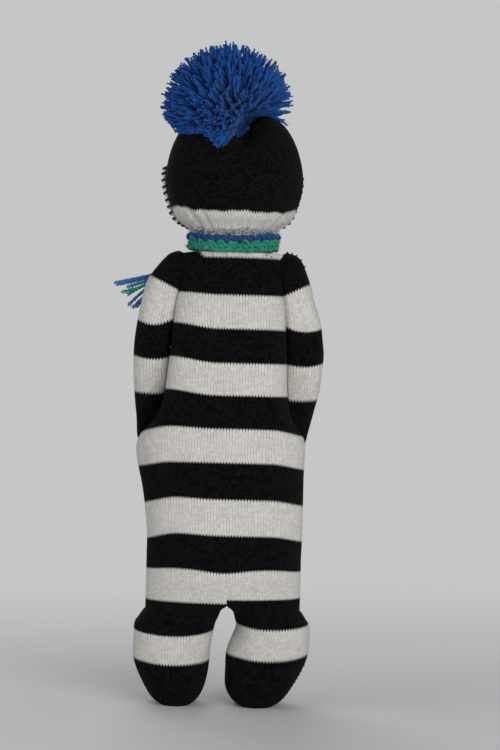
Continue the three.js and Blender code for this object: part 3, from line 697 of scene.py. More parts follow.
@dataclass(frozen=True)
class KnitFinish:
    """Fine stocking stitch in black and white stripes, drawn from the wale and stripe numbers.

    Attributes:
        courses: Courses of stitches in one stripe.
        tooth: How far a stripe's edge steps at each wale, in stripes.
        slant: How far a stitch's leg climbs across half a wale, in courses.
        depth: Relief of the stitches, in metres.
        contrast: How much the tone differs from stitch to stitch.
        gap: How much painted shade darkens the holes between the wales.
        period: Stripes after which the colours repeat; the upper half of them is white.
    """

    name: str
    white: Colour = (0.70, 0.675, 0.63)
    black: Colour = (0.0038, 0.0040, 0.0041)
    courses: float = 20.0
    tooth: float = 0.062
    slant: float = 0.9
    depth: float = 0.00035
    contrast: float = 0.2
    gap: float = 0.5
    period: float = 2.0

    def material(self) -> Material:
        """Builds the knit's nodes.

        Returns:
            The material.
        """
        g = Graph(self.name)
        place = g.add("ShaderNodeSeparateXYZ", g.add("ShaderNodeUVMap", uv_map=KNIT_MAP).outputs[0])
        wale, stripe = place.outputs[0], place.outputs[1]
        from_middle = g.math("ABSOLUTE", g.math("MULTIPLY_ADD", g.math("FRACT", wale), 2.0, -1.0))
        course = g.math("MULTIPLY", stripe, self.courses)
        leg = g.math("FRACT", g.math("MULTIPLY_ADD", from_middle, -self.slant, course))
        stroke = g.math("SINE", g.math("MULTIPLY", leg, pi))
        ridge = g.math("POWER", g.math("SINE", g.math("MULTIPLY", from_middle, pi)), 0.6)
        height = g.math("MULTIPLY", ridge, g.math("MULTIPLY_ADD", stroke, 0.6, 0.4))
        edge = g.math("MULTIPLY", g.spread(from_middle, 0.2, 0.8, (-0.5, 0.5)), self.tooth)
        part = g.math("FRACT", g.math("DIVIDE", g.math("ADD", stripe, edge), self.period))
        is_white = g.math("GREATER_THAN", part, 0.5)
        flat = g.add("ShaderNodeCombineXYZ", wale, course, 0.0).outputs[0]
        blotch = g.noise(flat, 0.09, 3.0)
        whole = g.add("ShaderNodeCombineXYZ", g.math("FLOOR", wale), g.math("FLOOR", course), 0.0)
        stitch = g.add("ShaderNodeTexWhiteNoise", whole.outputs[0]).outputs["Value"]
        fibre = g.noise(flat, 2.6, 2.0)
        uneven = g.math("MULTIPLY", g.math("ADD", stitch, fibre), self.contrast)
        tone = g.math("MULTIPLY_ADD", blotch, 0.10, uneven)
        # Painted shade: the white is darker in the low parts of the stitches, with random tone added
        relief = g.math("ADD", g.spread(height, 0.0, 0.7, (0.40, 0.96)), g.math("SUBTRACT", tone, 0.15))
        # Painted shade in the holes between the wales, less where a stitch's leg lies over them
        hole_shade = g.spread(from_middle, 0.55, 0.95, (0.0, self.gap))
        between = g.math("MULTIPLY", hole_shade, g.math("MULTIPLY_ADD", stroke, -0.85, 1.0))
        lit = g.scaled(self.white, g.math("MULTIPLY", relief, g.math("SUBTRACT", 1.0, between)))
        # Painted shade and light on the black: darker in the low parts of the stitches, lighter on their
        # tops, times a random tone per stitch
        black_relief_shade = g.spread(height, 0.0, 0.75, (0.1, 1.3))
        black_tone_and_shade = g.scaled(self.black, g.math("MULTIPLY", black_relief_shade, g.math("MULTIPLY_ADD", stitch, 1.3, 0.3)))
        lint = g.spread(g.noise(flat, 0.55, 6.0), 0.74, 0.80, (0.0, 0.35))
        dusty = g.mix(lint, black_tone_and_shade, (0.05, 0.05, 0.05))
        g.surface(g.mix(is_white, dusty, lit), 0.95, 0.035, 0.01)
        g.bump(g.math("MULTIPLY_ADD", fibre, 0.25, height), self.depth, 0.8)
        return g.owner


@dataclass(frozen=True)
class YarnFinish:
    """Soft plied yarn, whose tone differs from strand to strand, with painted light that lightens it
    towards its cut end.
    """

    name: str
    dark: Colour
    middle: Colour
    light: Colour
    # How much painted light lightens the yarn towards its cut end
    fade: float = 0.5

    def material(self) -> Material:
        """Builds the yarn's nodes.

        Returns:
            The material.
        """
        g = Graph(self.name)
        place = g.object_place()
        fibre = g.noise(place, 1900.0, 3.0)
        patch = g.noise(place, 160.0, 2.0)
        # Painted light: the yarn lightens towards each strand's cut end, away from its root inside the
        # ball
        reach = g.math("MULTIPLY", g.math("POWER", g.number("reach"), 1.6), self.fade)
        drawn = g.math("MULTIPLY_ADD", g.number("tone"), 0.5, g.math("MULTIPLY", patch, 0.3))
        level = g.math("ADD", reach, g.math("ADD", drawn, g.math("MULTIPLY_ADD", fibre, 0.5, -0.25)))
        lower = g.mix(g.spread(level, 0.1, 0.6, (0.0, 1.0)), self.dark, self.middle)
        colour = g.mix(g.spread(level, 0.6, 1.15, (0.0, 1.0)), lower, self.light)
        g.surface(colour, 0.9, 0.06, 0.1)
        g.bump(fibre, 0.0004, 0.7)
        return g.owner


@dataclass(frozen=True)
class FeltFinish:
    """Matted white felt with a short nap."""

    name: str = "white_felt"
    colour: Colour = (0.72, 0.71, 0.68)

    def material(self) -> Material:
        """Builds the felt's nodes.

        Returns:
            The material.
        """
        g = Graph(self.name)
        place = g.object_place()
        nap = g.noise(place, 1400.0, 5.0)
        cloud = g.noise(place, 60.0, 3.0)
        level = g.math("MULTIPLY_ADD", nap, 0.2, g.math("MULTIPLY_ADD", cloud, 0.12, 0.8))
        g.surface(g.scaled(self.colour, level), 1.0, 0.1, 0.2)
        g.bump(nap, 0.0004, 0.6)
        return g.owner


@dataclass(frozen=True)
class ThreadFinish:
    """Twisted sewing thread."""

    name: str
    colour: Colour
    gloss: float = 0.3

    def material(self) -> Material:
        """Builds the thread's nodes.

        Returns:
            The material.
        """
        g = Graph(self.name)
        place = g.object_place()
        twist = g.noise(place, 2600.0, 2.0)
        g.surface(g.scaled(self.colour, g.spread(twist, 0.3, 0.7, (0.7, 1.15))), 0.6, self.gloss, 0.1)
        g.bump(twist, 0.0002, 0.6)
        return g.owner


@dataclass(frozen=True)
class ButtonFinish:
    """Polished black plastic with the fine scratches of a used button."""

    name: str = "eye_button_black"
    colour: Colour = (0.012, 0.012, 0.014)

    def material(self) -> Material:
        """Builds the button's nodes.

        Returns:
            The material.
        """
        g = Graph(self.name)
        place = g.object_place()
        wear = g.noise(place, 900.0, 4.0)
        g.surface(g.mix(wear, self.colour, (0.03, 0.03, 0.034)), 0.25, 0.5, 0.0)
        g.put(g.shader.inputs["Roughness"], g.spread(wear, 0.3, 0.8, (0.18, 0.42)))
        g.bump(g.noise(place, 3000.0, 2.0), 0.00003, 0.4)
        return g.owner


class Wardrobe:
    """Every finish of the doll, made once."""

    def __init__(self) -> None:
        """Makes the finishes."""
        self.striped = KnitFinish("striped_stocking_knit").material()
        self.head_knit = KnitFinish("head_stocking_knit", period=2 * HEAD_BLACK).material()
        self.felt = FeltFinish().material()
        self.button = ButtonFinish().material()
        self.white_thread = ThreadFinish("white_sewing_thread", (0.7, 0.69, 0.66)).material()
        self.black_thread = ThreadFinish("black_sewing_thread", (0.006, 0.006, 0.007), 0.15).material()
        self.brown_thread = ThreadFinish("brown_sewing_thread", (0.16, 0.055, 0.03), 0.15).material()
        blues = ((0.0028, 0.036, 0.185), (0.0035, 0.052, 0.245), (0.007, 0.082, 0.33))
        self.pompom = YarnFinish("pompom_yarn_blue", *blues).material()
        worked = {
            Shade.BLUE: ((0.008, 0.025, 0.10), (0.017, 0.07, 0.24), (0.06, 0.19, 0.42)),
            Shade.GREEN: ((0.010, 0.13, 0.095), (0.032, 0.33, 0.235), (0.20, 0.64, 0.48)),
            Shade.GREY: ((0.20, 0.21, 0.22), (0.38, 0.39, 0.40), (0.66, 0.66, 0.65)),
        }
        # Painted light: the fringe's yarns are lighter copies of the scarf's blue and green, for strands
        # that hang out in the light
        lit_fringe = {
            Shade.BLUE: ((0.03, 0.10, 0.27), (0.07, 0.23, 0.50), (0.17, 0.42, 0.70)),
            Shade.GREEN: ((0.014, 0.17, 0.13), (0.045, 0.40, 0.29), (0.20, 0.64, 0.48)),
        }
        self.scarf = self.yarns("scarf_yarn", worked)
        self.fringe = self.yarns("lit_fringe_yarn", lit_fringe)

    def yarns(self, name: str, colours: Dict[Shade, Tuple[Colour, ...]]) -> Dict[Shade, Material]:
        """The scarf's yarns of the given dark, middle and light colours, with little painted light at
        the cut ends.
        """
        made = {key: YarnFinish(f"{name}_{key.value}", *row, fade=0.1) for key, row in colours.items()}
        return {key: finish.material() for key, finish in made.items()}


def dress(
    piece: Piece, material: Material, carrier: Union[str, Hinge], nodes: Sequence[str] = ()
) -> Piece:
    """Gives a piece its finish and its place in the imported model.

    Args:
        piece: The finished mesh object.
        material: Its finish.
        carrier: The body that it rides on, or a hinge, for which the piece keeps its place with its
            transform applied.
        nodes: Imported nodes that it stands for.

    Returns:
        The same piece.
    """
    piece.data.materials.clear()
    piece.data.materials.append(material)
    if isinstance(carrier, Hinge):
        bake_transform(piece)
    else:
        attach(piece, carrier)
    if nodes:
        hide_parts(*nodes)
    LOG.info("%s: %d faces", piece.name, len(piece.data.polygons))
    return piece


@dataclass
class Part:
    """A sub-assembly of the doll, made from the finishes of its wardrobe."""

    wardrobe: Wardrobe

    def build(self) -> None:
        """Makes the sub-assembly's pieces."""
        raise NotImplementedError


@dataclass
class Torso(Part):
    """The body of the doll: one striped tube, wide at the hips and gathered at the neck."""

    seat_width: float = 91.0
    seat_depth: float = 58.0
    hip_width: float = 98.6
    hip_depth: float = 64.0
    chest_width: float = 67.0
    chest_depth: float = 53.0
    shoulder_width: float = 62.0
    shoulder_depth: float = 46.0
    neck_width: float = 36.0
    tuck: float = 3.0
    square: float = 2.2
    chest_square: float = 1.2
    seam_square: float = 0.35
    sides: int = 200
    spans: int = 190
    lump: float = 0.45
    droop: float = 4.2
    side_droop: float = 1.6
    lift: float = 3.4
    left_rise: float = 1.0
    square_span: Span = (150.0, 185.0, 250.0, 264.0)
    sag_span: Span = (66.0, 92.0, 160.0, 176.0)
    lift_span: Span = (142.0, 196.0, 228.0, 254.0)
    rise_span: Span = (88.0, 100.0, 122.0, 140.0)
    soft_span: Span = (HIP_Z, HIP_Z + 14, 246.0, 262.0)
    folds: Tuple[Fold, ...] = (
        Fold((21.0, 266.5), (15.5, 261.0), 1.6, 0.9),
        Fold((15.0, 267.0), (12.5, 261.5), 1.2, 0.8),
        Fold((7.0, 267.0), (5.5, 262.0), 0.9, 0.8),
        Fold((-9.0, 267.0), (-9.5, 262.0), 0.9, 0.8),
        Fold((-19.0, 267.0), (-20.5, 261.5), 1.3, 0.9),
        Fold((-25.0, 266.0), (-27.5, 261.5), 1.2, 0.9),
    )
    stripe_edges: Tuple[float, ...] = (
        0.0, 27.5, 43.8, 61.9, 81.9, 101.6, 122.1, 143.6, 162.8, 182.1, 200.5, 220.5, 239.9, 262.2, 283.0
    )

    def stations(self) -> List[Station]:
        """Lists the tube's sections.

        Returns:
            Sections from below the hips up to the gathered neck.
        """
        rise = YOKE_Z - HIP_Z
        seat, hip, chest = self.seat_width, self.hip_width, self.chest_width
        seat_deep, hip_deep, deep = self.seat_depth, self.hip_depth, self.chest_depth
        top, top_deep, neck = self.shoulder_width, self.shoulder_depth, self.neck_width
        rows = (
            (-0.2, seat, seat_deep),
            (0.0, seat, seat_deep),
            (0.17, seat + 2, (seat_deep + hip_deep) / 2),
            (0.32, hip - 1, hip_deep),
            (0.39, hip - 3, hip_deep - 2),
            (0.455, chest * 0.6 + hip * 0.4, hip_deep - 4),
            (0.53, chest + 6, hip_deep * 0.4 + deep * 0.6),
            (0.68, chest + 2, deep + 2),
            (0.8, chest - 1, deep),
            (0.88, top, top_deep),
            (0.94, top - 1, top_deep - 6),
            (0.972, top - 1, top_deep - 7),
            (0.99, top - 2, top_deep - 6),
            (1.0, top - 5, top_deep - 5),
            (1.005, neck + 8, neck - 4),
            (1.012, neck + 3, neck - 2),
            (1.034, neck, neck),
        )
        return [Station(HIP_Z + share * rise, width, depth) for share, width, depth in rows]

    def sections(self) -> Array:
        """Closely spaced sections, as rings_through gives them."""
        return rings_through(self.stations(), self.spans)

    def squareness(self, heights: Array, chest: float) -> Array:
        """How square the sections are, where the chest is squarer than the hips by the given measure."""
        return self.square + chest * window(heights, *self.square_span)

    def stripe(self, points: Array) -> Array:
        """Stripe number of places on the torso or on a leg.

        The stripes sag towards the front below the arms, and are pulled up beside the left arm.

        Args:
            points: The places.

        Returns:
            Their stripe numbers.
        """
        x, y, z = points[..., 0], points[..., 1], points[..., 2]
        forward = np.clip(1 - y / (self.hip_depth / 2), 0, 2)
        low_body = window(z, *self.sag_span)
        sag = self.droop * low_body * forward**1.5 / (1 + 0.35 * forward**2)
        sag = sag + self.side_droop * low_body * ease(np.abs(x), 28, 46)
        pulled = self.lift * window(z, *self.lift_span)
        raised = pulled * ease(x, 6, 34)
        hip = window(z, *self.rise_span)
        raised = raised + self.left_rise * hip * bell(x, 25, 12)
        shoulders = ease(x, 16, 25) + ease(-x, 29, 33)
        raised = raised + 7 * shoulders * ease(z, 248, 262)
        return stripe_at(z + sag - raised, self.stripe_edges)

    def build(self) -> None:
        """Makes the torso's skin."""
        sections = self.sections()
        sections = sections[sections[:, 0] >= HIP_Z - self.tuck]
        rings = loft(sections, self.sides, self.squareness(sections[:, :1], self.chest_square))
        stripes = self.stripe(rings)
        angles = np.arctan2(rings[..., 1], rings[..., 0])
        outward = unit(rings * FLAT)
        heights = rings[..., 2]
        gather = 1.3 * ease(heights, 256, 265) * pleats(angles, 34, 3)
        soft = window(heights, *self.soft_span)
        stuffed = self.lump * soft * Lumps(11, 42).at(rings)
        tucked = -1.2 * (1 - ease(heights, HIP_Z - 1.0, HIP_Z + 0.2))
        for fold in self.folds:
            tucked = tucked - fold.press(rings)
        fill = 0.3 * groove_fill(rings, -1.0)
        rings = rings + (gather + stuffed + tucked)[..., None] * outward
        rings[..., 1] += fill
        rings[..., 0] += hip_reach(rings)
        rings = swayed(rings)
        self.surface = rings
        skin = Skin(rings, stripes, high=(0.0, 0.0, NECK_Z + 1))
        piece = skin.piece("torso_skin")
        hinge = Hinge("torso", "neck", (0, 0, YOKE_Z - 1), (0, 0, NECK_Z))
        dress(piece, self.wardrobe.striped, hinge, ["torso_cover", "torso_stuffing"])


@dataclass
class Leg(Part):
    """A short stuffed leg: half of the seat above, a rounded tube with a flat sole below."""

    side: Side
    torso: Torso
    width: float = 45.6
    depth: float = 48.0
    splay: float = 27.5
    sole_width: float = 19.0
    sole_depth: float = 29.0
    inner_sides: int = 24
    outer_sides: int = 80
    levels: int = 86
    smile: float = 2.0
    gap: float = -0.1
    slit_shift: float = -2.7
    slit_span: Span = (30.0, 56.0, 60.0, 80.0)
    soft_span: Span = (3.0, 16.0, 48.0, 62.0)
    right_rises: Tuple[Tuple[float, ...], ...] = ((0, 29, 48, 64, 76), (0, 3.5, 4.9, 2.5, 0))
    foot_leans: Pair = (1.8, -3.6)
    foot_sizes: Pair = (0.97, 1.06)
    knees: Pair = (1.6, 1.8)

    def stations(self) -> List[Station]:
        """Lists the leg's sections, as if it were a left one.

        Returns:
            Sections from the sole up to the hip.
        """
        crotch_x = self.torso.seat_width / 4 + 0.15
        crotch_width = self.torso.seat_width / 2 - 0.6
        foot, knee = (self.splay + self.side.of(pair) for pair in (self.foot_leans, self.knees))
        size = self.side.of(self.foot_sizes)
        rows = (
            (0.0, self.sole_width * size, self.sole_depth, foot - 2.8, -2),
            (CROTCH_Z * 0.07, self.width * 0.64 * size, self.depth * 0.76, foot - 2.4, -2),
            (CROTCH_Z * 0.22, self.width * 0.84 * size, self.depth * 0.92, foot - 1.6, -2),
            (CROTCH_Z * 0.48, self.width * size, self.depth, foot * 0.6 + knee * 0.4, -2),
            (CROTCH_Z * 0.78, self.width, self.depth, knee, -1),
            (CROTCH_Z * 0.88, self.width * 0.97, self.depth, knee - 2.3, -0.6),
            (CROTCH_Z * 0.96, self.width * 0.935, self.depth, knee - 4.5, -0.2),
            (CROTCH_Z, crotch_width - 2.4, self.depth, crotch_x + 1.2, 0),
            (HIP_Z, crotch_width, self.depth, crotch_x, 0),
        )
        return [Station(*row) for row in rows]

    def seat_depths(self, heights: Array) -> Array:
        """Half depth of the seat, which rounds under towards the crotch."""
        leg, seat = self.depth / 2, self.torso.seat_depth / 2
        return leg + (seat - leg) * np.sin(ease(heights, CROTCH_Z, HIP_Z) * pi / 2)

    def rings(self) -> Array:
        """Lays the places of a left leg.

        Returns:
            Rings that start behind at the middle of the doll and go down its inside first.
        """
        sections = rings_through(self.stations(), 90)
        heights = HIP_Z * np.linspace(0, 1, self.levels) ** 0.9
        width, depth, x, y = section_at(sections, heights).T[..., None]
        turn = radians(130)
        inner = np.linspace(turn, tau - turn, self.inner_sides, endpoint=False)
        outer = np.linspace(-turn, turn, self.outer_sides, endpoint=False)
        around = np.concatenate([inner, outer])[None, :]
        tube = oval(around, width, depth, self.torso.square) + xyz(x, y)
        seat = self.seat_depths(heights)[:, None]
        wall_y = seat * np.linspace(1, -1, self.inner_sides, endpoint=False)[None, :]
        wall = xyz(np.full_like(wall_y, self.gap / 2), wall_y)
        arc = np.linspace(-pi / 2, pi / 2, self.outer_sides, endpoint=False)[None, :]
        half = oval(arc, np.full_like(seat, self.torso.seat_width / 2), seat, self.torso.square)
        half[..., 0] = np.maximum(half[..., 0], self.gap / 2)
        joined = np.concatenate([wall, half], axis=1)
        parted = 1 - ease(heights, CROTCH_Z - 3.5, CROTCH_Z + 3)
        flat = joined + (tube - joined) * parted[:, None, None]
        level = np.broadcast_to(heights[:, None, None], flat.shape[:2] + (1,))
        return np.concatenate([flat, level], axis=-1)

    def stripe(self, rings: Array) -> Array:
        """Stripe number: the torso's, with a smile across the lower leg.

        The right leg's stripes sit higher than the left one's.

        Args:
            rings: Places on the leg.

        Returns:
            Their stripe numbers.
        """
        across = (np.abs(rings[..., 0]) - self.splay) / (self.width / 2)
        low = 1 - ease(rings[..., 2], 44, 58)
        dipped = rings.copy()
        dipped[..., 2] += low * self.smile * (1 - across**2)
        dipped[..., 2] += 2.2 * ease(rings[..., 2], 62, 74) * bell(rings[..., 0], 0, 14)
        if self.side is Side.RIGHT:
            dipped[..., 2] -= np.interp(rings[..., 2], *self.right_rises)
        return self.torso.stripe(dipped)

    def build(self) -> None:
        """Makes the leg's skin."""
        rings = self.rings()
        sides = rings.shape[1]
        front = self.inner_sides
        if self.side is Side.RIGHT:
            rings = rings[:, (-np.arange(sides)) % sides] * xyz(-1.0, 1.0, 1.0)
            front = sides - front
        stripes = self.stripe(rings)
        middle = rings[..., :2].mean(axis=1)
        outward = unit(rings[..., :2] - middle[:, None, :])
        heights = rings[..., 2]
        soft = window(heights, *self.soft_span)
        rings = rings.copy()
        rings[..., :2] += (0.5 * soft * Lumps(21 + self.side.value, 26).at(rings))[..., None] * outward
        slit = window(heights, *self.slit_span)
        rings[..., 0] += self.slit_shift * slit * bell(rings[..., 0], 0, 14)
        rings = swayed(rings)
        self.surface = rings
        sole = (float(rings[0, :, 0].mean()), -2.0, 0.0)
        skin = Skin(rings, stripes, sole, front=front)
        label = self.side.label
        piece = skin.piece(f"{label}_leg_skin")
        sharpen(piece, (0, front), sides, CROTCH_Z + 4)
        hinge = Hinge("torso", f"{label}_leg", (0, 0, HIP_Z), (0, 0, CROTCH_Z + 2))
        nodes = [f"{label}_leg_cover", f"{label}_leg_stuffing"]
        dress(piece, self.wardrobe.striped, hinge, nodes)


@dataclass
class Arm(Part):
    """A thin stuffed arm that lies against the torso, sewn on at the shoulder."""

    side: Side
    torso: Torso
    length: float = 116.0
    width: float = 25.0
    depth: float = 29.0
    square: float = 2.5
    hand_width: float = 20.0
    hand_depth: float = 19.0
    hand_forward: float = 23.0
    shoulder_rise: float = 4.5
    trim: float = 2.6
    trim_span: Span = (206.0, 244.0, 246.0, 262.0)
    corner: float = 5.5
    corner_span: Span = (180.0, 196.0, 246.0, 260.0)
    sides: int = 96
    spans: int = 130
    smiles: Tuple[Tuple[float, ...], ...] = ((186, 198, 212, 222, 240), (1.4, 2.6, 2.6, 4.2, 0))
    stripe_edges: Tuple[float, ...] = (150.0, 182.3, 203.2, 225.2, 242.8, 270.0)

    def stations(self) -> List[Station]:
        """Lists the arm's sections.

        Returns:
            Sections from the fingertips up to the shoulder.
        """
        top = NECK_Z - self.shoulder_rise
        sign = self.side.value
        chest, shoulder = self.torso.chest_width / 2, self.torso.shoulder_width / 2
        reach = self.hand_forward
        arm, deep, hand, thick = self.width, self.depth, self.hand_width, self.hand_depth
        rows = (
            (1.0, 0.0, 0.0, chest - 2 + hand * 0.5, 1.0),
            (0.985, hand * 0.6, thick * 0.5, chest - 2 + hand * 0.15, 0.99),
            (0.96, hand * 0.9, thick * 0.8, chest - 2, 0.96),
            (0.86, hand, thick, chest - 2, 0.78),
            (0.74, arm * 0.87, deep * 0.86, chest - 1, 0.52),
            (0.62, arm * 0.96, deep * 0.93, chest - 1.5, 0.32),
            (0.48, arm, deep * 0.97, chest - 2.5, 0.16),
            (0.32, arm, deep, chest - 4.5, 0.06),
            (0.18, arm * 0.98, deep, shoulder - 5.5, 0.0),
            (0.08, arm * 0.8, deep * 0.86, shoulder - 7.5, 0.0),
            (0.02, arm * 0.42, deep * 0.48, shoulder - 3.5, 0.0),
            (0.0, 0.0, 0.0, shoulder + 1, 0.0),
        )
        return [
            Station(top - self.length * share, width, depth, sign * (inner + width / 2), -reach * ahead)
            for share, width, depth, inner, ahead in rows
        ]

    def hinge(self) -> Hinge:
        """The stretch over which the shoulder bends."""
        sign = self.side.value
        return Hinge("torso", f"{self.side.label}_arm", (24 * sign, 0, 256), (40 * sign, 0, 240))

    def squared(self, rings: Array, sections: Array) -> Array:
        """The places with the back's inner corner squarer, so that it fills the groove beside the torso.

        Args:
            rings: Places of the arm.
            sections: The arm's sections, one for each ring.

        Returns:
            The same places with that corner filled.
        """
        wide, deep, mid_x, mid_y = (sections[:, None, column] for column in (1, 2, 3, 4))
        inwards = -self.side.value * (rings[..., 0] - mid_x) / (wide / 2)
        back = rings[..., 1] - mid_y
        corner = deep / 2 * (1 - np.clip(inwards, 0, 1) ** self.corner) ** (1 / self.corner)
        share = window(rings[..., 2], *self.corner_span) * (inwards > 0)
        filled = rings.copy()
        filled[..., 1] += share * ease(back / (deep / 2), 0.0, 0.35) * np.maximum(corner - back, 0)
        return filled

    def pressed(self, rings: Array) -> Array:
        """The places moved out where the arm lies against the torso.

        Args:
            rings: Places of the arm.

        Returns:
            The same places, none of them inside the torso.
        """
        half = section_at(self.torso.sections(), rings[..., 2])
        square = self.torso.squareness(rings[..., 2], self.torso.seam_square)
        share = np.clip(np.abs(rings[..., 1]) / half[..., 1], 0, 1)
        surface = half[..., 0] * (1 - share**square) ** (1 / square) + SEAM_GAP / 3
        moved = rings.copy()
        outwards = np.abs(rings[..., 0])
        moved[..., 0] = self.side.value * np.maximum(outwards, surface)
        return moved

    def stripe(self, rings: Array) -> Array:
        """Stripe number: level below, slanting up outwards at the shoulder.

        Args:
            rings: Places on the arm.

        Returns:
            Their stripe numbers.
        """
        x, z = np.abs(rings[..., 0]), rings[..., 2]
        offset = 1.2 * self.side.value
        middle = self.torso.chest_width / 2 + self.width * 0.42
        across = np.clip((x - middle) / (self.width / 2), -1, 1)
        curve = np.interp(z, *self.smiles) * (1 - across**2)
        slant = 0.5 * (x - 34) * ease(z, 226, 246)
        return stripe_at(z + curve - slant - offset, self.stripe_edges)

    def build(self) -> None:
        """Makes the arm's skin."""
        sections = rings_through(self.stations(), self.spans)
        inner = sections[1:-1]
        rings = loft(inner, self.sides, self.square)
        centre = inner[:, None, 3:5]
        outward = unit(rings[..., :2] - centre)
        rings[..., :2] += (0.4 * Lumps(31 + self.side.value, 24).at(rings))[..., None] * outward
        rings = self.pressed(self.squared(rings, inner))
        if self.side is Side.RIGHT:
            bulge = window(rings[..., 2], *self.trim_span)
            outer = np.clip((-rings[..., 0] - 29) / 20, 0, 1)
            rings[..., 0] += self.trim * bulge * outer
        rings[..., 0] += hip_reach(rings)
        rings[..., 1] += 0.5 * groove_fill(rings, 1.5)
        stripes = self.stripe(rings)
        rings = swayed(rings)
        self.surface = rings
        ends = [(end[3] + float(sway(end[0])), end[4], end[0]) for end in (sections[0], sections[-1])]
        skin = Skin(rings, stripes, *ends)
        label = self.side.label
        piece = skin.piece(f"{label}_arm_skin")
        nodes = [f"{label}_arm_cover", f"{label}_arm_stuffing"]
        dress(piece, self.wardrobe.striped, self.hinge(), nodes)


@dataclass
class Head(Part):
    """The head: the black toe of the sock, whose two corners stand up as lobes."""

    height: float = 76.0
    width: float = 81.0
    depth: float = 75.0
    turn: float = 8.0
    jaw_width: float = 53.0
    jaw_depth: float = 48.0
    neck_width: float = 40.0
    cleft_depth: float = 15.0
    cleft_width: float = 19.0
    square: float = 2.1
    sides: int = 240
    spans: int = 190
    band: float = 20.0
    band_dip: float = 3.2
    scarf_width: float = 11.0
    soft_span: Span = (16.0, 30.0, 66.0, 76.0)
    folds: Tuple[Fold, ...] = (
        Fold((30.0, 18.0), (19.0, 5.0), 1.5, 1.0),
        Fold((24.0, 19.0), (15.0, 6.0), 1.3, 0.9),
        Fold((9.0, 13.0), (8.0, 5.0), 1.0, 0.9),
        Fold((-5.0, 13.0), (-4.5, 5.0), 0.9, 0.9),
        Fold((-15.0, 12.0), (-12.0, 5.0), 1.1, 0.9),
        Fold((-24.0, 15.0), (-18.0, 5.0), 1.0, 1.0),
    )

    def __post_init__(self) -> None:
        """Works out the sections and the turn once."""
        self.sections = rings_through(self.stations(), self.spans)
        a = radians(self.turn)
        self.spin = np.array([[cos(a), -sin(a), 0], [sin(a), cos(a), 0], [0, 0, 1]])

    def stations(self) -> List[Station]:
        """Lists the head's sections, before the cleft is pressed in.

        Returns:
            Sections from the gathered neck up to the top.
        """
        h, w, d = self.height, self.width, self.depth
        jaw_w, jaw_d, half = self.jaw_width, self.jaw_depth, self.scarf_width / 2
        rows = (
            (0.6, self.neck_width, self.neck_width),
            (half - 0.6, self.neck_width + 4, self.neck_width + 2),
            (half + 3.2, jaw_w, jaw_d),
            (h * 0.19, jaw_w + (w - jaw_w) * 0.52, jaw_d + (d - jaw_d) * 0.5),
            (h * 0.3, jaw_w + (w - jaw_w) * 0.78, jaw_d + (d - jaw_d) * 0.8),
            (h * 0.47, w, d),
            (h * 0.62, w * 0.985, d * 0.97),
            (h * 0.77, w * 0.905, d * 0.86),
            (h * 0.9, w * 0.76, d * 0.68),
            (h * 0.98, w * 0.55, d * 0.47),
            (h * 1.015, w * 0.3, d * 0.25),
            (h * 1.02, 0.0, 0.0),
        )
        return [Station(*row) for row in rows]

    def dip(self, x: Array, z: Array) -> Array:
        """How far the cleft presses the top down at x, where the uncleft height is z."""
        rise = ease(z, self.height * 0.5, self.height)
        return self.cleft_depth * rise * bell(x, 0, self.cleft_width / 2)

    def to_doll(self, points: Array) -> Array:
        """Places in the head's own frame as places in the doll's."""
        return points @ self.spin.T + xyz(0, 0, NECK_Z)

    def around(self, angles: Array, z: Array, proud: float) -> Array:
        """Places on the head's surface, or proud of it, in its own frame.

        Args:
            angles: Angle round the head of each place, -90 degrees in front, in radians.
            z: Height of each place.
            proud: Distance outside the knit.

        Returns:
            The places.
        """
        flat = z.copy()
        for _ in range(8):
            half = section_at(self.sections, flat)
            xy = oval(angles, half[..., 0] + proud, half[..., 1] + proud, self.square)
            flat = z + self.dip(xy[..., 0], flat)
        return np.concatenate([xy, z[..., None]], axis=-1)

    def depth_inside(self, points: Array) -> Array:
        """How deep places are inside the head, in its own frame.

        Args:
            points: The places.

        Returns:
            Rough depths in millimetres.
        """
        z = points[..., 2].copy()
        for _ in range(5):
            z = points[..., 2] + self.dip(points[..., 0], z)
        half = section_at(self.sections, z)
        w, d = np.maximum(half[..., 0], 0.5), np.maximum(half[..., 1], 0.5)
        share = np.abs(points[..., 0] / w) ** self.square + np.abs(points[..., 1] / d) ** self.square
        return (1 - share ** (1 / self.square)) * np.minimum(w, d)

    def build(self) -> None:
        """Makes the head's skin."""
        rings = loft(self.sections[:-1], self.sides, self.square)
        heights = rings[..., 2].copy()
        angles = np.arctan2(rings[..., 1], rings[..., 0])
        outward = unit(rings * FLAT)
        gather = 0.8 * (1 - ease(heights, 7, 20)) * pleats(angles, 28, 7)
        for fold in self.folds:
            gather = gather - fold.press(rings)
        soft = window(heights, *self.soft_span)
        stuffed = 0.5 * soft * Lumps(41, 38).at(rings)
        rings = rings + (gather + stuffed)[..., None] * outward
        rings[..., 2] -= self.dip(rings[..., 0], heights)
        wobble = 0.35 * np.sin(angles * 9.0) + 0.25 * np.sin(angles * 23.0 + 1.0)
        middle = (1 - ease(rings[..., 0], 24, 34)) * (1 - ease(-rings[..., 0], 25, 33))
        stripes = HEAD_BLACK + (self.band - self.band_dip * middle - rings[..., 2] + wobble) / self.band
        top = xyz(0.0, 0.0, self.sections[-1, 0] - self.cleft_depth)
        skin = Skin(self.to_doll(rings), stripes, high=tuple(self.to_doll(top)))
        piece = skin.piece("head_skin")
        dress(piece, self.wardrobe.head_knit, "head", ["head_cover", "head_stuffing"])
        self.skin = piece


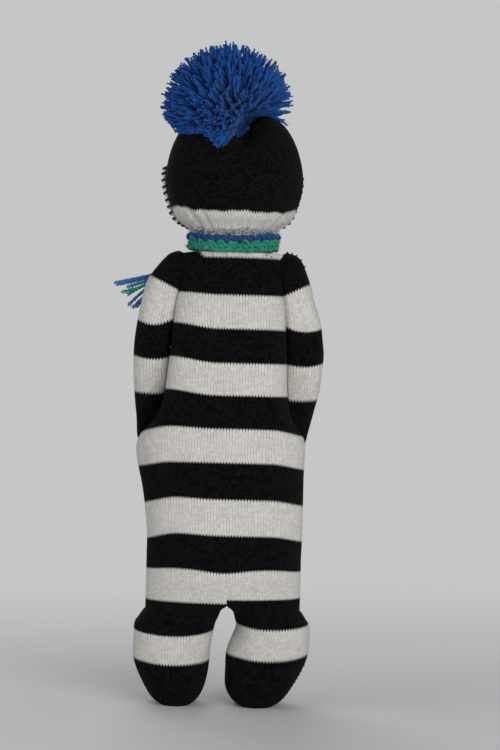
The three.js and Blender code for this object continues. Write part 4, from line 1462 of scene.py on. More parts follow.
@dataclass
class Pompom(Part):
    """A ball of cut yarn, tied at its waist and seated in the cleft between the head's lobes."""

    head: Head
    diameter: float = 75.0
    centre: Place = (6.5, 5.0, 81.0)
    waist: Place = (3.2, 12.0, 68.5)
    strands: int = 2700
    steps: int = 13
    ply_radius: float = 0.66
    ply_spread: float = 0.5
    twist: float = 7.0
    tuft_size: int = 4
    tuft_pull: float = 0.34
    fibres: int = 6000
    fibre_radius: float = 0.07
    core: Place = (-1.6, 0.0, 66.0)
    core_radius: float = 4.0
    core_length: float = 24.0
    core_strands: int = 34
    clearance: float = 1.2
    ragged: float = 2.6
    tie_radius: float = 1.1
    tie_turns: int = 5

    def tips(self, rng: Draws) -> Array:
        """Ends of the strands on the trimmed ball, all round the waist and a little jittered.

        Args:
            rng: Source of the draws.

        Returns:
            Places in the head's own frame.
        """
        k = np.arange(self.strands)
        z = 1 - (2 * k + 1) / self.strands
        turn = k * pi * (3 - sqrt(5))
        ring = np.sqrt(1 - z**2)
        even = xyz(ring * np.cos(turn), ring * np.sin(turn), z)
        aim = unit(even + rng.normal(scale=0.06, size=even.shape))
        waist = np.array(self.waist)
        offset = waist - np.array(self.centre)
        radius = self.diameter / 2 + rng.normal(scale=self.ragged / 2, size=(len(aim), 1))
        along = (aim * offset).sum(-1, keepdims=True)
        reach = -along + np.sqrt(np.maximum(along**2 - offset @ offset + radius**2, 1.0))
        return waist + aim * reach

    def paths(self) -> Array:
        """Middle lines of the strands, bent clear of the head.

        Returns:
            Strands by steps by 3, in the head's own frame.
        """
        rng = np.random.default_rng(5)
        tips = self.tips(rng)
        deep = self.head.depth_inside(tips)
        tips = tips[deep < 13]
        waist = np.array(self.waist)
        t = np.linspace(0.04, 1, self.steps)[None, :, None]
        reach = tips - waist
        size = np.linalg.norm(reach, axis=-1, keepdims=True)
        bend = np.cross(reach, rng.normal(size=reach.shape))
        bend = unit(bend) * size * rng.uniform(0.05, 0.24, (len(tips), 1))
        swirl = unit(np.cross(reach, rng.normal(size=reach.shape)))
        phase = rng.uniform(0, tau, (len(tips), 1, 1))
        wave = np.sin(t * 8 + phase) * rng.uniform(0.4, 1.5, (len(tips), 1, 1))
        lines = waist + reach[:, None] * t + bend[:, None] * (t**2 - t) * 1.6 + swirl[:, None] * wave * t
        lines[..., 2] -= 0.05 * size[:, None, 0] * t[..., 0] ** 2
        lines = self.tufted(lines, t, rng)
        return self.gathered(self.lifted(lines, rng), rng)

    def tufted(self, lines: Array, t: Array, rng: Draws) -> Array:
        """Draws the lines together towards their ends, into small pointed tufts.

        Args:
            lines: Middle lines.
            t: Share of the way along them.
            rng: Source of the draws.

        Returns:
            The drawn lines.
        """
        heads = lines[rng.permutation(len(lines))[: len(lines) // self.tuft_size]]
        gaps = np.linalg.norm(lines[:, None, -1] - heads[None, :, -1], axis=-1)
        nearest = heads[np.argmin(gaps, axis=1)]
        pull = self.tuft_pull * rng.uniform(0.4, 1.3, (len(lines), 1, 1)) * t**2
        return lines + (nearest - lines) * pull

    def hem(self, x: Array, y: Array) -> Array:
        """Lowest height of the yarn round the head, in the doll's frame.

        Behind, the yarn stands clear of the right lobe, lies on the left one and hangs between
        them in a tuft.

        Args:
            x: Place across the doll.
            y: Place from its front to its back.

        Returns:
            The heights.
        """
        side = 347.0 - 13.5 * ease(x, -5, 4)
        tuft = 11.0 * bell(x, 9, 6)
        back = side - tuft + 10.0 * ease(x, 32, 42)
        front = 338.0 + 6.5 * ease(np.abs(x), 26, 40)
        return front + (back - front) * ease(y, -8, 8)

    def gathered(self, lines: Array, rng: Draws) -> Array:
        """Lifts the lines where they would hang below the hem.

        Args:
            lines: Middle lines.
            rng: Source of the draws.

        Returns:
            The lines that are kept.
        """
        doll = self.head.to_doll(lines)
        floor = self.hem(doll[..., 0], doll[..., 1]) + rng.uniform(-1.5, 1.5, (len(lines), 1))
        short = np.maximum(floor - doll[..., 2], 0)
        kept = short.max(axis=1) < 4.0
        lines = lines[kept]
        lines[..., 2] += short[kept]
        return lines

    def lifted(self, lines: Array, rng: Draws) -> Array:
        """Pushes the lines out of the head, to lie on it one over another.

        Args:
            lines: Middle lines.
            rng: Source of the draws.

        Returns:
            The pushed lines.
        """
        lines = lines.copy()
        margin = self.clearance + rng.uniform(0, 4.0, (len(lines), 1))
        step = 0.2
        for _ in range(4):
            depth = self.head.depth_inside(lines)
            beyond = np.stack([self.head.depth_inside(lines + step * axis) for axis in np.eye(3)], -1)
            slope = (beyond - depth[..., None]) / step
            steep = np.maximum((slope**2).sum(-1), 0.15)
            push = np.clip(depth + margin, 0, 6)
            lines -= slope * (push / steep)[..., None]
        return lines

    def build(self) -> None:
        """Makes the ball and the yarn that ties it."""
        rng = np.random.default_rng(6)
        lines = self.head.to_doll(np.concatenate([self.paths(), self.bundle(rng)]))
        t = np.linspace(0, 1, self.steps)[None, :]
        spread = self.ply_spread * (0.8 + 0.4 * t) * (1 - 0.5 * t**9)
        radius = self.ply_radius * (1.05 - 0.1 * t) * (1 - 0.4 * t**9)
        tones = rng.uniform(0, 1, len(lines))
        plies = Yarns(lines, 1.0, 5, tones=tones).plied(2, spread, self.twist, radius)
        for label, rows in zip("abc", np.array_split(np.arange(len(plies.paths)), 3)):
            part = Yarns(plies.paths[rows], plies.radii[rows], 5, tones=plies.tones[rows])
            nodes = ["pompom"] if label == "a" else []
            dress(part.piece(f"pompom_yarn_{label}"), self.wardrobe.pompom, "head", nodes)
        fuzz = fluff(lines[:, -5:], self.fibres, self.fibre_radius, 4.5, rng)
        dress(fuzz.piece("pompom_fluff"), self.wardrobe.pompom, "head")
        self.tie()

    def bundle(self, rng: Draws) -> Array:
        """Lays strands front to back in the cleft, under the tie.

        Args:
            rng: Source of the draws.

        Returns:
            Middle lines in the head's own frame.
        """
        k = np.arange(self.core_strands)
        size = self.core_radius * np.sqrt((k + 0.5) / self.core_strands)
        turn = k * pi * (3 - sqrt(5))
        t = np.linspace(-1, 1, self.steps)[None, :]
        swell = 1 + 0.25 * t**2
        phase = rng.uniform(0, tau, (len(k), 1))
        x = self.core[0] + (size * np.cos(turn))[:, None] * swell + 0.3 * np.sin(4 * t + phase)
        z = self.core[2] + (size * np.sin(turn))[:, None] * swell
        y = self.core[1] + self.core_length / 2 * t + rng.uniform(-1, 1, (len(k), 1))
        return xyz(x, y, z)

    def tie(self) -> None:
        """Winds the tie round the pompom's waist and down into the cleft."""
        low = self.head.height - self.head.cleft_depth - 9
        t = np.linspace(0, 1, 24 * self.tie_turns)
        turn = tau * self.tie_turns * t
        high = self.waist[2] + 5
        lean = ease(t, 0.2, 1.0)
        wide = 2.2 + 0.9 * np.sin(pi * t)
        x, y = self.waist[0] * lean + wide * np.cos(turn), self.waist[1] * lean + wide * np.sin(turn)
        line = xyz(x, y, low + (high - low) * t)
        strand = Yarns(self.head.to_doll(line)[None], 1.0, 8)
        plies = strand.plied(2, self.tie_radius * 0.5, 5.0, self.tie_radius * 0.55)
        piece = plies.piece("pompom_tie_yarn")
        dress(piece, self.wardrobe.pompom, "head", ["pompom_tie"])


@dataclass
class Band:
    """A flexible crocheted strip carried along a line.

    Attributes:
        line: Places of the strip's middle, steps by 3.
        across: Direction across the strip at each step, at the length of its half width.
        out: Direction out of the strip's face at each step.
        closed: Whether the strip runs back into its start.
        pitch: Length of a stitch.
        yarn: Radius of the yarn.
    """

    line: Array
    across: Array
    out: Array
    closed: bool = False
    pitch: float = 4.3
    yarn: float = 1.0

    def at(self, share: Array, cross: Array, proud: Array) -> Array:
        """Places on the strip.

        Args:
            share: How far along the line, from 0 to 1.
            cross: How far across, from -1 to 1.
            proud: Distance out of its face.

        Returns:
            The places.
        """
        count = len(self.line)
        where = share * (count if self.closed else count - 1)
        low = np.floor(where).astype(int)
        f = (where - low)[..., None]
        if self.closed:
            i, j = low % count, (low + 1) % count
        else:
            i, j = np.clip(low, 0, count - 1), np.clip(low + 1, 0, count - 1)
        middle = self.line[i] * (1 - f) + self.line[j] * f
        across = self.across[i] * (1 - f) + self.across[j] * f
        out = unit(self.out[i] * (1 - f) + self.out[j] * f)
        return middle + across * np.asarray(cross)[..., None] + out * np.asarray(proud)[..., None]

    def length(self) -> float:
        """Length of the strip's middle line."""
        line = np.concatenate([self.line, self.line[:1]]) if self.closed else self.line
        return float(np.linalg.norm(np.diff(line, axis=0), axis=-1).sum())

    def row(self, cross: float, height: float, slack: float, seed: int, waist: float = 0.24) -> Yarns:
        """One row of knotted loops along the strip.

        Args:
            cross: Where the row lies across the strip, from -1 to 1.
            height: Half height of a loop, in the same measure.
            slack: How uneven the loops are.
            seed: Seed of the unevenness.
            waist: How much a loop narrows at its foot, in stitches.

        Returns:
            The row's yarn as two plies.
        """
        count = max(3, round(self.length() / self.pitch))
        per = 18
        s = np.arange(count * per + (0 if self.closed else 1)) / per
        wave = tau * s
        share = (s + waist * np.sin(2 * wave)) / count
        if not self.closed:
            share = np.clip(share, 0, 1)
        lean = height * np.cos(wave)
        proud = 0.9 * self.yarn * np.cos(2 * wave) + self.yarn
        lumps = Lumps(seed, 7.0)
        line = self.at(share, cross + lean, proud)
        uneven = xyz(lumps.at(line), lumps.at(line + 40), lumps.at(line + 90))
        strand = Yarns((line + slack * uneven)[None], 1.0, 6, self.closed)
        return strand.plied(2, self.yarn * 0.5, 3.6, self.yarn * 0.62)

    def rope(self, cross: float, thick: float, lay: float, seed: int) -> Yarns:
        """A thick slanting row: two strands turned round each other along the strip.

        Args:
            cross: Where the row lies across the strip, from -1 to 1.
            thick: Radius of one strand.
            lay: Length of a full turn.
            seed: Seed of the unevenness.

        Returns:
            The strands' plies.
        """
        count = round(self.length() / 0.55)
        share = np.arange(count) / (count if self.closed else count - 1)
        line = self.at(share, np.full(count, cross), np.full(count, thick * 0.9))
        lumps = Lumps(seed, 9.0)
        line = line + 0.3 * xyz(lumps.at(line), lumps.at(line + 30), lumps.at(line + 70))
        core = Yarns(line[None], 1.0, 6, self.closed)
        pair = core.plied(2, thick * 0.85, lay, thick)
        return pair.plied(3, thick * 0.46, 4.4, thick * 0.56)

    def cloth(self, name: str, cells: int, thickness: float) -> Piece:
        """The thin strip that the rows are worked into.

        Args:
            name: Name of the piece.
            cells: Faces across the strip.
            thickness: Distance between its two faces.

        Returns:
            The piece.
        """
        steps = round(self.length() / 1.2)
        share = np.arange(steps) / (steps if self.closed else steps - 1)
        cross = np.linspace(-1, 1, cells + 1)
        around = np.concatenate([cross, cross[::-1]])
        face = np.concatenate([np.full(cells + 1, thickness / 2), np.full(cells + 1, -thickness / 2)])
        ripple = 0.25 * np.sin(tau * share[:, None] * steps / 3.6 + 3 * around[None, :])
        along = np.repeat(share[:, None], len(around), axis=1)
        points = self.at(along, np.broadcast_to(around, along.shape), face[None, :] + ripple)
        index = np.arange(steps * len(around)).reshape(steps, len(around))
        ahead = np.roll(index, -1, axis=0) if self.closed else index[1:]
        behind = index if self.closed else index[:-1]
        corners = [behind, ahead, np.roll(ahead, -1, axis=1), np.roll(behind, -1, axis=1)]
        faces = np.stack(corners, axis=-1).reshape(-1, 4).tolist()
        if not self.closed:
            faces += [index[0].tolist(), index[-1, ::-1].tolist()]
        return new_piece(name, points, faces)


# Of each fringe strand its turn in degrees, its length and its place across the hem, from -1 to 1
FRINGES: Dict[Side, Dict[Shade, Tuple[Place, ...]]] = {
    Side.LEFT: {
        Shade.BLUE: (
            (14.1, 31.2, -0.1), (14.9, 28.2, -0.3), (20.8, 22.7, -0.4), (38.8, 26.9, -0.7),
            (46.0, 24.7, -0.8), (47.3, 23.4, -0.9), (53.3, 23.6, -0.95),
        ),
        Shade.GREEN: ((26.0, 26.3, -0.5), (27.4, 25.1, -0.6)),
    },
    Side.RIGHT: {
        Shade.BLUE: ((9, 29, 0.8), (15, 31, 0.6), (25, 26, 0.3), (46, 30, -0.5), (54, 25, -0.8)),
        Shade.GREEN: ((20, 26, 0.4), (30, 32, 0.1), (36, 27, -0.2), (60, 21, -0.9)),
    },
}
FRINGE_NODES = {Shade.BLUE: (1, 3, 5), Shade.GREEN: (2, 4)}


@dataclass
class Scarf(Part):
    """A crocheted scarf: a loop round the neck, a knot in front and two fringed ends."""

    neck_width: float = 54.0
    neck_depth: float = 49.0
    width: float = 11.0
    thickness: float = 3.6
    knot_width: float = 15.0
    knot_depth: float = 12.0
    tail_lengths: Pair = (36.5, 46.0)
    tail_drape: float = 3.5
    tail_stagger: float = 5.0
    side_rise: float = 2.6
    front_dip: float = 4.2
    front_reach: float = 1.8
    fibres: int = 900
    fibre_radius: float = 0.09
    slopes: Pair = (7.0, 78.0)
    yarn: float = 0.95

    @property
    def knot(self) -> Array:
        """The knot's middle."""
        depth = (self.neck_depth + self.knot_depth) / 2 + SEAM_GAP
        return xyz(0.0, -depth, YOKE_Z - self.width * 0.36)

    def loop(self) -> Band:
        """Lays the strip round the neck.

        Returns:
            The strip.
        """
        angles = tau * np.arange(160) / 160 + pi / 2
        out = xyz(np.cos(angles), np.sin(angles), np.zeros_like(angles))
        inset = self.thickness - 0.9
        half = xyz(self.neck_width / 2 - inset, self.neck_depth / 2 - inset, 0.0)
        middle = xyz(0.0, 0.0, YOKE_Z + SEAM_GAP + self.width / 2)
        up = np.broadcast_to(xyz(0.0, 0.0, self.width / 2), out.shape)
        line = out * half + middle
        front = bell(out[:, 1], -1, 0.14)[:, None]
        line += front * xyz(0.0, -self.front_reach, -self.front_dip)
        line[:, 2] += self.side_rise * out[:, 0] ** 2
        return Band(line, up, out, closed=True, yarn=self.yarn)

    def wrap(self) -> None:
        """Makes the loop: a green and a blue row, and a slack grey row above them."""
        band = self.loop()
        coarse = replace(band, pitch=6.4, yarn=self.yarn * 1.2)
        fine = replace(band, pitch=4.6, yarn=self.yarn * 0.75)
        rows = {
            "green_row": (coarse.row(-0.42, 0.44, 0.6, 1, 0.1), Shade.GREEN),
            "green_fill": (band.rope(-0.4, 1.0, 6.7, 6), Shade.GREEN),
            "green_edge": (band.rope(-0.86, 0.75, 5.2, 2), Shade.GREEN),
            "blue_row": (band.rope(0.36, 1.3, 8.6, 3), Shade.BLUE),
            "grey_row": (fine.row(0.98, 0.3, 0.5, 4), Shade.GREY),
            "grey_top": (fine.row(1.3, 0.24, 0.6, 5, 0.1), Shade.GREY),
        }
        rng = np.random.default_rng(29)
        for name, (yarns, shade) in rows.items():
            piece = yarns.piece(f"scarf_wrap_{name}")
            dress(piece, self.wardrobe.scarf[shade], "torso")
            fuzz = fluff(yarns.paths, self.fibres, self.fibre_radius, 3.2, rng)
            piece = fuzz.piece(f"scarf_wrap_{name}_fuzz")
            dress(piece, self.wardrobe.scarf[shade], "torso")
        cloth = band.cloth("scarf_wrap_cloth", 8, 1.0)
        dress(cloth, self.wardrobe.scarf[Shade.GREEN], "torso", ["scarf_wrap"])
        flat = (self.width * MM, band.length() * MM)

    def tie(self) -> None:
        """Makes the knot: bands of yarn turned round each other."""
        middle = self.knot
        half = xyz(self.knot_width / 2 - 1.2, self.knot_depth / 2 - 1.0, self.knot_width / 2 - 1.5)
        angles = tau * np.arange(48) / 48
        turns = {Shade.GREEN: (-38.0, 0.62), Shade.BLUE: (40.0, 0.9), Shade.GREY: (0.0, 0.5)}
        for shade, (tilt, reach) in turns.items():
            loops = []
            for offset in np.linspace(-0.55, 0.55, 5) * reach:
                ring = sqrt(1 - offset**2)
                loop = xyz(ring * np.cos(angles), ring * np.sin(angles), np.full(48, offset))
                a = radians(tilt)
                spin = np.array([[cos(a), 0, sin(a)], [0, 1, 0], [-sin(a), 0, cos(a)]])
                loops.append(middle + loop @ spin.T * half * (1 + 0.02 * tilt / 40))
            strand = Yarns(np.array(loops), 1.0, 6, closed=True)
            plies = strand.plied(2, self.yarn * 0.5, 3.6, self.yarn * 0.62)
            nodes = ["scarf_knot"] if shade is Shade.GREEN else []
            piece = plies.piece(f"scarf_knot_{shade.value}")
            dress(piece, self.wardrobe.scarf[shade], "torso", nodes)

    def tail_band(self, side: Side) -> Band:
        """Lays the strip of one hanging end, from the knot to its hem.

        Args:
            side: Which end.

        Returns:
            The strip.
        """
        slope = radians(side.of(self.slopes))
        sign = side.value
        share = np.linspace(0, 1, 48)
        y = self.knot[1] - sign * self.tail_stagger / 2 - self.tail_drape * share
        y = y + 0.6 * np.sin(share * pi * 2.5)
        reach = self.knot_width / 2 + SEAM_GAP + side.of(self.tail_lengths) * share
        x = sign * cos(slope) * reach
        z = self.knot[2] - sin(slope) * reach
        across = xyz(sign * sin(slope), 0, cos(slope)) * self.width / 2
        gather = 0.72 + 0.28 * ease(share, 0, 0.5)
        out = np.broadcast_to(xyz(0.0, -1.0, 0.0), (48, 3))
        return Band(xyz(x, y, z), across * gather[:, None], out, yarn=self.yarn)

    def tail(self, side: Side) -> None:
        """Makes one end with its rows, on both faces, and its fringe.

        Args:
            side: Which end.
        """
        band = self.tail_band(side)
        label = side.label
        body = f"{label}_tail"
        back = replace(band, out=-band.out)
        rows = {
            "green_row": (band.row(-0.5, 0.42, 0.2, 11), Shade.GREEN),
            "blue_row": (band.row(0.42, 0.42, 0.2, 12), Shade.BLUE),
            "green_back": (back.row(-0.5, 0.42, 0.2, 13), Shade.GREEN),
            "blue_back": (back.row(0.42, 0.42, 0.2, 14), Shade.BLUE),
        }
        pieces = []
        for name, (yarns, shade) in rows.items():
            piece = yarns.piece(f"{body}_{name}")
            pieces.append(dress(piece, self.wardrobe.scarf[shade], body))
        pieces += self.fringe(side, band)
        cloth = band.cloth(f"{body}_cloth", 8, 0.8)
        dress(cloth, self.wardrobe.scarf[Shade.GREEN], body, [f"{label}_scarf_tail"])

    def fringe(self, side: Side, band: Band) -> List[Piece]:
        """Knots the fringe into the hem of an end.

        Args:
            side: Which end.
            band: Its strip.

        Returns:
            The fringe's pieces.
        """
        rng = np.random.default_rng(17)
        slope = side.of(self.slopes)
        made = []
        for shade, items in FRINGES[side].items():
            lines = []
            for turn, reach, cross in items:
                root = band.at(np.array([0.97]), np.array([cross]), np.array([0.3]))[0]
                angle = radians(slope + turn - 7)
                end = xyz(side.value * cos(angle), 0.0, -sin(angle)) * reach
                t = np.linspace(0, 1, 22)[:, None]
                start = unit(band.line[-1] - band.line[-4])
                curl = rng.normal(scale=0.9, size=3) * np.sin(pi * t * 1.3)
                lines.append(root + end * t**1.15 + start * 6 * t * (1 - t) + curl * t)
            tones = rng.uniform(0.2, 0.9, len(lines))
            t = np.linspace(0, 1, 22)[None, :]
            strand = Yarns(np.array(lines), 1.0, 7, tones=tones)
            spread, radius = self.yarn * (0.55 + 0.5 * t**4), self.yarn * (0.72 - 0.25 * t**8)
            plies = strand.plied(2, spread, 4.2, radius)
            piece = plies.piece(f"{side.label}_fringe_{shade.value}_yarn")
            nodes = [f"{side.label}_fringe_{k}" for k in FRINGE_NODES[shade]]
            # The fringe takes the lighter copies of the scarf's yarns, which are painted light
            made.append(dress(piece, self.wardrobe.fringe[shade], f"{side.label}_tail", nodes))
        return made

    def build(self) -> None:
        """Makes the whole scarf."""
        self.wrap()
        self.tie()
        for side in Side:
            self.tail(side)


@dataclass
class Face(Part):
    """The white panel over the front of the head, the muzzle, the nostrils and the eyes."""

    head: Head
    panel_width: float = 92.0
    panel_height: float = 50.0
    panel_rise: float = 31.0
    edge_y: float = -8.0
    felt: float = 1.6
    muzzle_width: float = 46.0
    muzzle_height: float = 31.0
    muzzle_rise: float = 24.0
    muzzle_base: float = -22.5
    muzzle_reach: float = 35.6
    stitch_pitch: float = 4.0
    stitch_slant: float = 1.4
    head_radius: float = 38.0
    panel_flat: Pair = (0.116, 0.053)

    def outline(self, share: Array) -> Tuple[Array, Array]:
        """Height of each place up the panel, and the angle from the front to its edge there.

        Args:
            share: How far up the panel, from -1 to 1.

        Returns:
            Heights and angles.
        """
        z = self.panel_rise + share * self.panel_height / 2
        wide = self.panel_width / 2 * np.sqrt(np.maximum(1 - share**2, 0))
        half = section_at(self.head.sections, z + self.head.dip(wide, z))
        side = 1 - np.clip(-self.edge_y / half[..., 1], 0, 1) ** self.head.square
        widest = half[..., 0] * side ** (1 / self.head.square)
        x = np.minimum(wide, widest)
        power = self.head.square / 2
        c = np.clip(x / half[..., 0], 0, 1) ** power
        return z, np.arcsin(np.clip(c, 0, 1))

    def grid(self, rows: Array, columns: Array, proud: float) -> Array:
        """Places on the panel, in the doll's frame.

        Args:
            rows: How far up it, from -1 to 1.
            columns: How far across it.
            proud: Distance outside the head's knit.

        Returns:
            Rows by columns by 3.
        """
        z, edge = self.outline(rows)
        angles = -pi / 2 + edge[:, None] * columns[None, :]
        height = np.broadcast_to(z[:, None], angles.shape).copy()
        return self.head.to_doll(self.head.around(angles, height, proud))

    def panel(self) -> None:
        """Makes the felt panel, its whip stitches and its edge."""
        rows = np.sin(np.linspace(-1, 1, 45) * pi / 2 * 0.995)
        columns = np.linspace(-1, 1, 97)
        front = self.grid(rows, columns, SEAM_GAP + self.felt)
        back = self.grid(rows, columns, SEAM_GAP)
        lumps = 0.25 * Lumps(51, 16).at(front)
        outward = unit((front - xyz(0, 0, NECK_Z + 36)) * xyz(1, 1, 0.3))
        front = front + lumps[..., None] * outward
        n = len(rows) * len(columns)
        index = np.arange(n).reshape(len(rows), len(columns))
        a, b, c, d = index[:-1, :-1], index[:-1, 1:], index[1:, 1:], index[1:, :-1]
        faces = np.stack([a, b, c, d], -1).reshape(-1, 4).tolist()
        faces += (np.stack([d, c, b, a], -1).reshape(-1, 4) + n).tolist()
        rim = np.concatenate([index[0, :-1], index[:-1, -1], index[-1, :0:-1], index[:0:-1, 0]])
        ahead = np.roll(rim, -1)
        faces += np.stack([ahead, rim, rim + n, ahead + n], -1).tolist()
        piece = new_piece("face_panel_felt", np.stack([front, back]), faces)
        dress(piece, self.wardrobe.felt, "head", ["face_panel"])
        stitches = self.whip()

    def whip(self) -> Piece:
        """Sews black whip stitches round the panel's edge.

        Returns:
            The stitches.
        """
        t = np.linspace(-1, 1, 400)
        rows = np.sin(t * pi / 2 * 0.97)
        rng = np.random.default_rng(23)
        paths = []
        for sign in (1, -1):
            run = self.grid(rows, np.array([sign]), 1.0)[:, 0]
            length = np.concatenate([[0], np.cumsum(np.linalg.norm(np.diff(run, axis=0), axis=-1))])
            for s in np.arange(1.5, length[-1], self.stitch_pitch):
                share = np.interp(s + rng.normal(scale=0.3), length, rows)
                low = np.interp(s - self.stitch_slant, length, rows)
                z, edge = self.outline(np.array([low, share]))
                inner = edge[0] - 2.6 / self.head_radius
                outer = edge[1] + (1.7 if sign > 0 else 0.6) / self.head_radius
                u = np.linspace(0, 1, 9)
                angle = -pi / 2 + sign * (inner + (outer - inner) * u)
                height = z[0] + (z[1] - z[0]) * u
                proud = 1.9 + 0.55 * np.sin(pi * u) - 1.6 * ease(u, 0.6, 1.0)
                proud = proud - 0.7 * (1 - ease(u, 0, 0.2))
                steps = zip(angle[:, None], height[:, None], proud)
                paths.append(np.concatenate([self.head.around(*step) for step in steps]))
        plies = Yarns(self.head.to_doll(np.array(paths)), 1.0).plied(2, 0.4, 3.0, 0.48)
        piece = plies.piece("face_panel_stitches")
        return dress(piece, self.wardrobe.black_thread, "head")

    def muzzle_at(self, a: Array, turn: Array, proud: float = 0.0) -> Array:
        """Places on the muzzle's dome, in the doll's frame.

        Args:
            a: Angle up the dome, 0 at its base and 90 degrees at its front, in radians.
            turn: Angle round it.
            proud: Distance outside the knit.

        Returns:
            The places.
        """
        wide = np.cos(a) ** 0.75
        x = (self.muzzle_width / 2 + proud) * wide * np.cos(turn)
        z = self.muzzle_rise + (self.muzzle_height / 2 + proud) * wide * np.sin(turn)
        y = self.muzzle_base - (self.muzzle_reach + proud) * np.sin(a)
        return self.head.to_doll(np.stack(np.broadcast_arrays(x, y, z), -1))

    def muzzle(self) -> None:
        """Makes the stuffed muzzle, its mouth and its nostrils."""
        sides, spans = 96, 44
        a = (1 - np.cos(np.linspace(0.02, 1, spans) * pi / 2))[:, None] * pi / 2 * 0.995
        turn = -tau * np.arange(sides)[None, :] / sides
        rings = self.muzzle_at(np.repeat(a, sides, axis=1), np.repeat(turn, spans, axis=0))
        outward = unit(rings - self.head.to_doll(xyz(0, self.muzzle_base, self.muzzle_rise)))
        rings = rings + (0.35 * Lumps(61, 16).at(rings))[..., None] * outward
        stripes = np.repeat(1 + a / 2, sides, axis=1)
        front = tuple(self.muzzle_at(np.array(pi / 2), np.array(0.0)))
        skin = Skin(rings, stripes, high=front)
        piece = skin.piece("muzzle_skin")
        dress(piece, self.wardrobe.head_knit, "head", ["muzzle_cover", "muzzle_stuffing"])

    def marks(self) -> None:
        """Embroiders nostrils and mouth on the muzzle, in white thread."""
        for side in Side:
            paths = []
            for k in range(7):
                offset = (k - 3) / 3
                rise = 0.15 * sqrt(1 - 0.85 * offset**2)
                u = np.linspace(-1, 1, 9)
                turn = pi / 2 - side.value * (0.80 + 0.075 * offset)
                angle = radians(66) + rise * 0.55 * u
                paths.append(self.muzzle_at(angle, np.full(9, turn), 0.0) + self.bow(u, 0.35))
            plies = Yarns(np.array(paths), 1.0).plied(2, 0.22, 2.2, 0.28)
            piece = plies.piece(f"{side.label}_nostril_stitches")
            dress(piece, self.wardrobe.white_thread, "head", [f"{side.label}_nostril"])
        u = np.linspace(-1, 1, 60)
        angle = radians(60) + 0.16 * (1 - u**2)
        mouth = self.muzzle_at(angle - 0.1, -pi / 2 + 0.75 * u, 0.25)
        plies = Yarns(mouth[None], 1.0).plied(2, 0.3, 3.0, 0.36)
        dress(plies.piece("mouth_stitch"), self.wardrobe.white_thread, "head")

    def bow(self, u: Array, rise: float) -> Array:
        """How a short stitch stands off the muzzle between its ends."""
        out = self.head.to_doll(xyz(0, -1.0, 0)) - self.head.to_doll(xyz(0, 0.0, 0))
        return (rise * (1 - u**4) - 0.3)[:, None] * out

    def eyes(self) -> None:
        """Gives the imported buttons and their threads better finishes."""
        finishes = {"eye_button": self.wardrobe.button, "eye_thread": self.wardrobe.white_thread}
        for side in Side:
            for part, material in finishes.items():
                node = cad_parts[f"{side.label}_{part}"]
                for index in range(len(node.data.materials)):
                    node.data.materials[index] = material

    def build(self) -> None:
        """Makes the whole face."""
        self.panel()
        self.muzzle()
        self.marks()
        self.eyes()


@dataclass
class Neck(Part):
    """The stuffed neck and the thread that gathers the torso and the head onto it."""

    thread: float = 0.6

    def build(self) -> None:
        """Makes the neck's stuffing and its thread."""
        rows = ((254, 20), (257, 30), (264, 31), (271, 31.5), (280, 32), (285, 28), (288, 18))
        stations = [Station(z, wide, wide) for z, wide in rows]
        rings = loft(rings_through(stations, 40), 72, 2.0)
        outward = unit(rings * FLAT)
        rings = rings + (0.35 * Lumps(71, 6).at(rings))[..., None] * outward
        stripes = 1.5 + 0 * rings[..., 2]
        skin = Skin(rings, stripes, (0, 0, 253.7), (0, 0, 288.3))
        piece = skin.piece("neck_fill")
        dress(piece, self.wardrobe.felt, "neck", ["neck_stuffing"])
        angles = np.linspace(0, 3 * tau, 240)
        rise = 269.9 + 2.2 * angles / angles[-1]
        line = xyz(19.2 * np.cos(angles), 19.2 * np.sin(angles), rise)
        plies = Yarns(line[None], 1.0).plied(2, self.thread * 0.5, 2.2, self.thread * 0.55)
        piece = plies.piece("gather_thread")
        dress(piece, self.wardrobe.white_thread, "neck", ["neck_gather_thread"])


def facing(surface: Array, x: float, z: float) -> Array:
    """The place on the back of a surface that is nearest to the given x and height."""
    back = surface[surface[..., 1] > 0]
    return back[np.argmin((back[:, 0] - x) ** 2 + (back[:, 2] - z) ** 2)]


